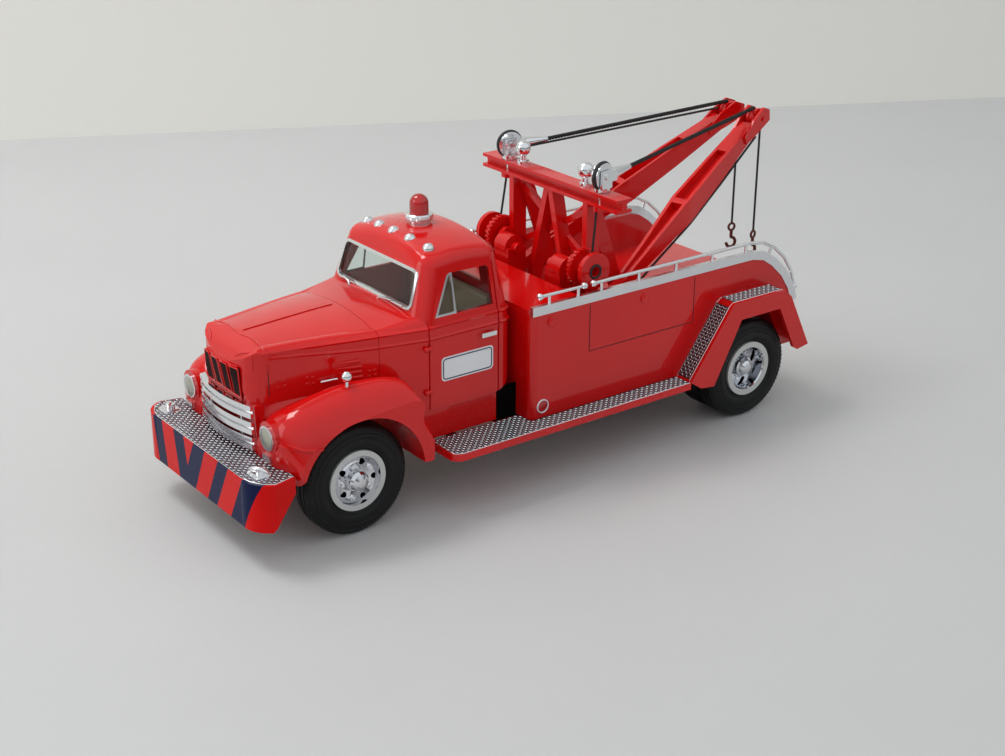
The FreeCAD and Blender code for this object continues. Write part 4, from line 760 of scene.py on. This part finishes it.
# Door hinges: two short lobes in line
hinge = {"front": 42.5, "back": 39.8, "y": 23.85, "heights": (44.8, 32.5), "radius": 0.78, "tip": 0.75,
         "lobes": ((0.4, 1.0), (0.5, 0.62), (0.6, 1.0))}
hinges = [roundedRun((hinge["front"], hinge["y"], z), (hinge["back"], hinge["y"], z), hinge["tip"], hinge["lobes"])
          for z in hinge["heights"]]
beads("doorHinges", onBothSides(hinges), hinge["radius"], bodyRed, sides=12)

# Panel lines: behind the hood's nose and round the doors of the side boxes
noseLine = laidOnSide(hoodSkin, [(83.0, z) for z in (38.9, 41, 43, 45, 46.6)], 0.02)
boxDoor = [(-9.3, 47.6), (-9.3, 34.0), (-48.2, 34.0), (-48.2, 47.6)]
outline = boxDoor[:1]
for (x0, z0), (x1, z1) in zip(boxDoor, boxDoor[1:]):
    outline += list(zip(evenSteps(x0, x1, 6), evenSteps(z0, z1, 6)))[1:]
beads("panelLines", onBothSides([noseLine, laidOnSide(bodySkin, outline)]), 0.14, seamShade, sides=6)

# Round caps and ring reflectors on the box sides
capProfile = [(0, -0.3), (1.45, -0.3), (1.45, 0.25), (1.2, 0.45), (1.0, 0.3), (0.6, 0.42), (0, 0.46)]
caps = []
for place in laidOnSide(bodySkin, [(-29.1, 45.2), (4.1, 45.7)]):
    caps += bothSides(lathe(capProfile, place, 24, closed=False))
addPiece("boxCaps", caps, bodyRed)
reflector = onSide(bodySkin, 6.9, 21.6)[0]
ringProfile = [(1.68, -0.2), (1.68, 0.25), (1.75, 0.36), (1.92, 0.36), (2.0, 0.25), (2.0, -0.2)]
discProfile = [(0, -0.2), (1.72, -0.2), (1.72, 0.1), (1.1, 0.22), (0, 0.27)]
addPiece("reflectorRings", bothSides(lathe(ringProfile, reflector, 32)), signWhite)
addPiece("reflectorDiscs", bothSides(lathe(discProfile, reflector, 32, closed=False)), redLens)
print("side details made")


# A patch that lies on a surface: rings of an outline, seated point by point, closed underneath
def skinPatch(skin, outline, shares, lift, under=0.15):
    count = len(outline)
    middleX, middleZ = [sum(values) / count for values in zip(*outline)]
    points = laidOnSide(skin, [(middleX + (x - middleX) * share, middleZ + (z - middleZ) * share)
                               for share in shares for x, z in outline], lift)
    low, inner = len(points), len(points) - count
    points += [p - Vector((0, lift + under, 0)) for p in points[:count]]
    faces = [tuple(range(inner, low)), tuple(reversed(range(low, low + count)))]
    for start, end in [(ring, ring + count) for ring in range(0, inner, count)] + [(low, 0)]:
        faces += [(start + n, start + (n + 1) % count, end + (n + 1) % count, end + n) for n in range(count)]
    return points, faces


def roundedOutline(x0, x1, z0, z1, radius, steps=6):
    outline = []
    for cx, cz, start in ((x1 - radius, z1 - radius, 0), (x0 + radius, z1 - radius, 90),
                          (x0 + radius, z0 + radius, 180), (x1 - radius, z0 + radius, 270)):
        for k in range(steps + 1):
            angle = math.radians(start + 90 * k / steps)
            outline.append((cx + radius * math.cos(angle), cz + radius * math.sin(angle)))
    return outline


# Blank sign on each door: a pale plate with a dark blue line inside its edge
sign = {"x": (20.0, 36.8), "z": (34.4, 41.2), "radius": 1.1, "inset": 0.55, "lift": 0.07, "line": 0.16,
        "borderRadius": 0.85, "shares": (1.0, 0.9, 0.75, 0.5, 0.25)}
plate = roundedOutline(*sign["x"], *sign["z"], sign["radius"])
addPiece("signPlates", bothSides(skinPatch(cabSkin, plate, sign["shares"], sign["lift"])), signWhite)
(x0, x1), (z0, z1), inset = sign["x"], sign["z"], sign["inset"]
border = roundedOutline(x0 + inset, x1 - inset, z0 + inset, z1 - inset, sign["borderRadius"])
beads("signBorders", onBothSides([laidOnSide(cabSkin, border + border[:1], sign["lift"])]), sign["line"], navyInk,
      sides=6)


# Tyres: grooved tread, ringed side walls and shoulder lugs
tyre = {"flats": 80, "lugs": 72, "lugSize": (0.42, 1.2, 0.24), "lugReach": 14.6, "lugOff": 2.72, "halfWall": [
    (8.4, 2.85), (8.75, 3.25), (9.3, 3.5), (9.5, 3.42), (9.7, 3.6), (10.3, 3.86), (10.9, 3.96), (11.6, 3.95),
    (11.75, 3.8), (11.95, 3.8), (12.1, 3.9), (13.0, 3.72), (13.15, 3.55), (13.4, 3.55), (13.55, 3.62), (14.1, 3.38),
    (14.6, 3.0), (15.0, 2.62), (15.22, 2.3), (15.28, 1.95), (14.95, 1.85), (14.95, 1.55), (15.28, 1.45),
    (15.3, 0.55), (14.95, 0.45), (14.95, 0.15)]}


def tyreForm(x, y):
    profile = tyre["halfWall"] + [(radius, -height) for radius, height in reversed(tyre["halfWall"])]
    return lathe(profile, (x, y, wheels["height"]), tyre["flats"])


def lugSpots(x, y):
    spots = []
    for k in range(tyre["lugs"]):
        for side in (-1, 1):
            angle = 2 * math.pi * (k + 0.25 * side) / tyre["lugs"]
            out = Vector((math.cos(angle), 0, math.sin(angle)))
            facing = out * 0.86 + Vector((0, side * 0.5, 0))
            place = Vector((x, y + side * tyre["lugOff"], wheels["height"])) + out * tyre["lugReach"]
            spots.append((place, facing))
    return spots


for name, mids, x, body, node in (
        ("frontTyres", (23.7, -23.7), wheels["frontX"], "front_wheels", "front_tyres"),
        ("rearTyres", (28.4, 19.2, -19.2, -28.4), wheels["rearX"], "rear_wheels", "rear_tyres")):
    piece = addPiece(name, [tyreForm(x, y) for y in mids], tyreRubber, body, angle=28)
    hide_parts(node)
    spots = [spot for y in mids for spot in lugSpots(x, y)]
    grow(name + "Lugs", treadLugs, spotCarrier(spots), {"Size": [v * mm for v in tyre["lugSize"]], "Taper": 0.8},
         tyreRubber, body)

# Nuts on the wheel webs, between the holes, and a near-black disc behind the holes as painted shade seen through them
for name, node, body, x, count, first, reach, radius in (
        ("frontNuts", "front_rims", "front_wheels", wheels["frontX"], 5, 0, 4.7, 0.72),
        ("rearNuts", "rear_rims", "rear_wheels", wheels["rearX"], 6, 30, 4.6, 0.62)):
    skin = skinOf(node)
    spots = []
    for k in range(count):
        angle = math.radians(first + 360 * k / count)
        place = onSide(skin, x + reach * math.cos(angle), wheels["height"] + reach * math.sin(angle))[0]
        spots.append((place, (0, 1, 0), math.degrees(angle)))
    heads(name, spotsOnBothSides(spots), radius, 0.8, chrome, body, sides=6, taper=0.8)
    # Painted shade: a near-black disc behind the holes, where they look into shadow
    back = spots[0][0][1] - 2.1
    shade = lathe([(2.4, -0.2), (2.4, 0.2), (6.1, 0.2), (6.1, -0.2)], (x, back, wheels["height"]), 36)
    addPiece(name.replace("Nuts", "ShadeDiscs"), bothSides(shade), deepShade, body)
print("wheels made")


# Black sockets in the winch discs
socketProfile = [(1.5, -0.3), (1.5, 0.2), (1.6, 0.32), (2.0, 0.32), (2.12, 0.2), (2.12, -0.3)]
socket = lathe(socketProfile, (-14.4, 24.4, 55.0), 30)
addPiece("winchSocketLeft", [socket], cableCord, "left_drum")
addPiece("winchSocketRight", [mirrored(socket)], cableCord, "right_drum")

# Hoist cables from the mast heads down to the drums
hoist = {"top": (-17.4, 20.6, 71.0), "low": (-15.6, 21.2, 57.6), "radius": 0.36, "step": 0.3, "twist": 2400.0}
cable("hoistCables", onBothSides([[hoist["top"], hoist["low"]]]), hoist["radius"], hoist["step"], hoist["twist"])
print("winch details made")


# Near-black panels between cab and box: painted shade that closes the view through the gap
gap = {"x": (10.4, 19.2), "y": (21.5, 21.9), "z": (17.4, 27.4)}
gapOutline = roundedOutline(*gap["x"], *gap["z"], 0.8, steps=3)
gapShadeForm = slab([(x, gap["y"][0], z) for x, z in gapOutline], (0, gap["y"][1] - gap["y"][0], 0))
addPiece("gapShadePanels", bothSides(gapShadeForm), deepShade)


# Valleys between hood side and front fender, from the hood's foot down to the fender's inner edge
valley = {"from": 66.0, "to": 86.4, "spans": 17, "hoodZ": 38.4, "sag": 0.9, "thick": 0.6,
          "lastHoodX": 84.6, "step": 0.25, "widest": 30, "lowest": 31}


def fenderEdge(x, y):
    while y < valley["widest"]:
        place = fenderSkin.ray_cast(Vector((x, y, 60)), Vector((0, 0, -1)))[0]
        if place is not None and place.z > valley["lowest"]:
            return place
        y += valley["step"]
    return None


def valleyForm():
    rows = []
    for x in evenSteps(valley["from"], valley["to"], valley["spans"]):
        hood = hoodSkin.ray_cast(Vector((min(x, valley["lastHoodX"]), 60, valley["hoodZ"])), Vector((0, -1, 0)))[0]
        edge = fenderEdge(x, hood.y + 0.6) if hood is not None else None
        if edge is not None:
            inner, outer = Vector((x, hood.y - 0.4, hood.z)), edge + Vector((0, 0.5, -0.05))
            middle = inner.lerp(outer, 0.4) - Vector((0, 0, valley["sag"]))
            rows.append([inner, inner.lerp(middle, 0.6) - Vector((0, 0, 0.3)), middle, middle.lerp(outer, 0.55),
                         outer])
    return thickSheet(rows, (0, 0, -valley["thick"]))


addPiece("fenderValleys", bothSides(valleyForm()), bodyRed, angle=60)

# Nose: wide slots shown by near-black sheets laid on the nose face, painted shade of the openings, each with a thin
# rim, and raised arcs round the brow
noseSlots = {"centres": (-7.1, -2.37, 2.37, 7.1), "half": 1.72, "z": (37.9, 45.8), "lift": 0.18, "rim": 0.22}


# The x of the nose's surface, as measured on the hood
def noseFace(y, z):
    return min(88.05 + 0.18 * (z - 38.5), 89.35 - 0.0108 * y * y)


# A near-black sheet over one slot and the bars beside it: painted shade that widens the opening
def slotShadeForm(centre, columns=4, rows=8, depth=0.6):
    ys = evenSteps(centre - noseSlots["half"], centre + noseSlots["half"], columns)
    zs = evenSteps(*noseSlots["z"], rows)
    rows = [[(noseFace(y, z) + noseSlots["lift"], y, z) for z in zs] for y in ys]
    return thickSheet(rows, (-depth, 0, 0))


slotShadeSheets, rims = [], []
for centre in noseSlots["centres"]:
    slotShadeSheets.append(slotShadeForm(centre))
    outline = roundedOutline(centre - noseSlots["half"], centre + noseSlots["half"], *noseSlots["z"], 0.4, steps=3)
    rims.append([(noseFace(y, z) + noseSlots["lift"], y, z) for y, z in outline + outline[:1]])
addPiece("noseSlotShades", slotShadeSheets, slotShade, angle=60)
beads("noseSlotRims", rims, noseSlots["rim"], bodyRed, sides=6)

browArcs = [[(82.9, 14.1, 44.5), (82.9, 14.2, 47.0), (83.0, 14.0, 49.0), (83.1, 12.9, 50.9), (82.9, 10.0, 51.6),
             (82.8, 6.0, 51.9), (83.4, 2.0, 51.8), (83.6, 0.0, 51.8)],
            [(86.4, 12.2, 45.6), (86.4, 12.2, 47.6), (86.3, 12.0, 49.3), (86.3, 10.6, 50.2), (86.9, 8.6, 49.8),
             (87.4, 7.2, 48.9), (87.6, 6.4, 48.0)]]
arcs = []
for arc in browArcs:
    seated = [hoodSkin.find_nearest(Vector(p))[0] for p in arc]
    arcs.append([(*p, 0.4 if step in (0, len(seated) - 1) else 1.0) for step, p in enumerate(seated)])
beads("noseArcs", onBothSides(arcs), 0.32, bodyRed)

# Crease line round the front of each fender, from the lamp back to the wheel arch
creasePoints = [(85.9, 27.0, 31.1), (84.6, 28.9, 30.4), (83.2, 30.0, 29.9), (81.8, 30.9, 29.6), (79.6, 31.7, 29.7)]
crease = []
for x, y, z in creasePoints:
    place, facing = seat(fenderSkin, Vector((x, y, z)) + Vector((0.55, 0.8, 0.0)) * 20, (-0.55, -0.8, 0.0))
    crease.append((*place, 0.3 if (x, y, z) in (creasePoints[0], creasePoints[-1]) else 1.0))
beads("fenderCreases", onBothSides([crease]), 0.4, bodyRed)

# Horns and pads on the bumper top
horn = [(91.0, 26.4, 24.0, 0.5), (91.6, 26.0, 24.7, 1.0), (92.4, 25.2, 25.3, 1.15), (93.2, 24.0, 25.4, 1.0),
        (93.8, 22.8, 25.1, 0.8), (94.0, 21.9, 24.5, 0.45)]
beads("bumperHorns", onBothSides([horn]), 0.75, chrome, sides=12)
padOutline = roundedOutline(90.2, 95.0, 21.4, 27.6, 1.6, steps=4)
addPiece("hornPads", bothSides(slab([(x, y, bumperHeight + 0.05) for x, y in padOutline], (0, 0, 0.45))), chrome)

# Wipers at rest along the foot of the windshield
screenOut = Vector((0.96, 0, 0.29)) * 0.45
wiperArms = [[(43.9, -9.3, 53.6), (43.6, -10.0, 54.4), (43.2, -13.2, 54.9)],
             [(43.8, 4.6, 53.8), (43.5, 5.4, 54.4), (43.2, 10.4, 54.8)]]
wiperBlades = [[(43.25, -10.4, 54.4), (43.1, -16.5, 54.9)], [(43.3, 6.0, 54.5), (43.15, 15.6, 54.7)]]
beads("wiperArms", [[Vector(p) + screenOut for p in arm] for arm in wiperArms], 0.27, chrome)
beads("wiperBlades", [[Vector(p) + screenOut * 0.7 for p in blade] for blade in wiperBlades], 0.3, satinMetal,
      sides=6)

# Beacon: a turned band round its base
beacon = {"x": 27.4, "profile": [(2.6, 73.1), (2.6, 73.5), (3.5, 73.5), (3.85, 73.2), (3.85, 72.2), (3.6, 71.9),
                                 (3.2, 71.9)]}
addPiece("beaconBand", [lathe(beacon["profile"], (beacon["x"], 0, 0), 40, axis=(0, 0, 1))], chrome)
print("front and roof details made")


# Cables of each boom, in the plane of the boom drawn straight back and then swung inward
boomSizes = {"foot": (-18.8, 21.0), "rise": 29.0, "inward": 11.98, "footHeight": 41.2,
             "sheaveHeight": 80.7, "head": (85.9, 0.4), "hookHeight": 46.4, "underY": 22.6,
             "under": [(7, -3.2), (24, -3.9), (44, -5.3), (62, -4.7), (82, -3.6)]}
rise, inward = math.radians(boomSizes["rise"]), math.radians(boomSizes["inward"])


def alongBoom(distance, off=0.0):
    return (boomSizes["foot"][0] - distance * math.cos(rise) + off * math.sin(rise),
            boomSizes["footHeight"] + distance * math.sin(rise) + off * math.cos(rise))


def swung(x, y, z):
    dx, dy = x - boomSizes["foot"][0], y - boomSizes["foot"][1]
    return (boomSizes["foot"][0] + dx * math.cos(inward) - dy * math.sin(inward),
            boomSizes["foot"][1] + dx * math.sin(inward) + dy * math.cos(inward), z)


headX, headZ = alongBoom(*boomSizes["head"])
topCable = [swung(*p) for p in ((-31.0, 21.0, 80.9), (headX + 1.0, 21.0, headZ + 3.1))]
lowCable = [swung(*p) for p in ((-23.2, 19.8, 79.6), (headX + 5.2, 19.8, headZ + 1.6))]
loadLine = [swung(headX - 3.2, 21.0, headZ + 0.6), swung(headX - 3.2, 21.0, boomSizes["hookHeight"])]
under = [swung(x, boomSizes["underY"], z) for x, z in [alongBoom(*place) for place in boomSizes["under"]]]
sheaveRing = [(3.5, -0.6), (3.95, -0.55), (4.15, 0.0), (3.95, 0.55), (3.5, 0.6)]
topping = {"radius": 0.66, "step": 0.55, "twist": 1300.0}
load = {"radius": 0.38, "step": 0.34, "twist": 2300.0}
ringForm = lathe(sheaveRing, (*boomSizes["foot"], boomSizes["sheaveHeight"]), 36,
                 axis=(-math.sin(inward), math.cos(inward), 0))
for side, turned, turnedForm in (("Left", list, lambda form: form), ("Right", flipped, mirrored)):
    body, node = side.lower() + "_boom", "boom_lines_" + side.lower()
    addPiece("sheaveCable" + side, [turnedForm(ringForm)], cableCord, body)
    thick = cable("toppingCable" + side, [turned(topCable)], *topping.values(), body)
    thin = cable("loadCable" + side, [turned(path) for path in (lowCable, loadLine, under)], *load.values(), body)
    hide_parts(node)
    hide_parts(node)
print("cables made")


# Stage: table top, wall, lamps and camera

stageSizes = {"floorReach": 3.0, "wallHeight": 2.0, "wallPoints": ((-8.4, -412.4), (-477.5, -186.5))}


def stagePlane(name, corners, material):
    mesh = bpy.data.meshes.new(name)
    mesh.from_pydata(corners, [], [tuple(range(len(corners)))])
    mesh.materials.append(material)
    piece = bpy.data.objects.new(name, mesh)
    bpy.context.scene.collection.objects.link(piece)


tableSkin = grainMaterial("tableSkin", (199, 199, 198), (192, 192, 191), 0.45, {
    "Grain size": 420.0, "Wear size": 9.0, "Wear share": 0.5, "Depth": 0.35})
wallPaint = grainMaterial("wallPaint", (243, 241, 234), (238, 236, 229), 0.7, {
    "Grain size": 200.0, "Wear size": 4.0, "Depth": 0.1})
# Seen from behind, the wall is clear, so that a camera behind it still sees the truck
wallTree = wallPaint.node_tree
backfacing = put(wallTree, "ShaderNodeNewGeometry")["Backfacing"]
feed(wallTree, wallTree.nodes["Principled BSDF"], {"Alpha": maths(wallTree, "SUBTRACT", 1.0, backfacing)})
first, second = [Vector((x, y, 0)) * mm for x, y in stageSizes["wallPoints"]]
along = (second - first).normalized()
away = Vector((-along.y, along.x, 0))
reach = stageSizes["floorReach"]
middle = (first + second) / 2
near, far = middle - along * reach, middle + along * reach
stagePlane("table", [far, near, near - away * reach, far - away * reach], tableSkin)
up = Vector((0, 0, stageSizes["wallHeight"]))
stagePlane("wall", [near, far, far + up, near + up], wallPaint)

lamps = {  # place, aim, size, power
    "keyWindow": ((0.28, -0.30, 0.80), (0.0, 0.0, 0.03), 0.3, 2.8),
    "leftFill": ((1.0, -0.3, 0.45), (0.0, 0.0, 0.03), 0.6, 1.8),
}
for name, (place, aim, size, power) in lamps.items():
    light = bpy.data.lights.new(name, "AREA")
    light.size = size
    light.energy = power
    lamp = bpy.data.objects.new(name, light)
    lamp.location = place
    lamp.rotation_euler = (Vector(aim) - Vector(place)).to_track_quat("-Z", "Y").to_euler()
    bpy.context.scene.collection.objects.link(lamp)
world = bpy.data.worlds.new("softRoom")
bpy.context.scene.world = world
world.use_nodes = True
sky = world.node_tree
# A dim band just above the horizon, so that polished metal shows an edge between floor and room
height = put(sky, "ShaderNodeSeparateXYZ", {0: put(sky, "ShaderNodeTexCoord")["Generated"]})["Z"]
feed(sky, sky.nodes["Background"], {"Color": colour(232, 236, 240),
                                    "Strength": span(sky, height, 0.03, 0.34, 0.1, 0.95)})

cameraPlace = {
    "position": (0.266504, 0.355448, 0.205582), "lens": 59.5002,
    "right": (-0.80041824, 0.59941875, 0.00527214), "up": (-0.22881026, -0.31364135, 0.92156116),
    "forward": (-0.5540546, -0.73642805, -0.38819741),
}
cameraData = bpy.data.cameras.new("photoCamera")
cameraData.lens = cameraPlace["lens"]
cameraData.sensor_width = 36.0
cameraData.clip_start = 0.01
camera = bpy.data.objects.new("photoCamera", cameraData)
turn = Matrix((cameraPlace["right"], cameraPlace["up"], [-v for v in cameraPlace["forward"]])).transposed()
camera.matrix_world = Matrix.Translation(cameraPlace["position"]) @ turn.to_4x4()
bpy.context.scene.collection.objects.link(camera)
bpy.context.scene.camera = camera
bpy.context.scene.view_settings.view_transform = "Standard"
print("stage, lamps and camera set")
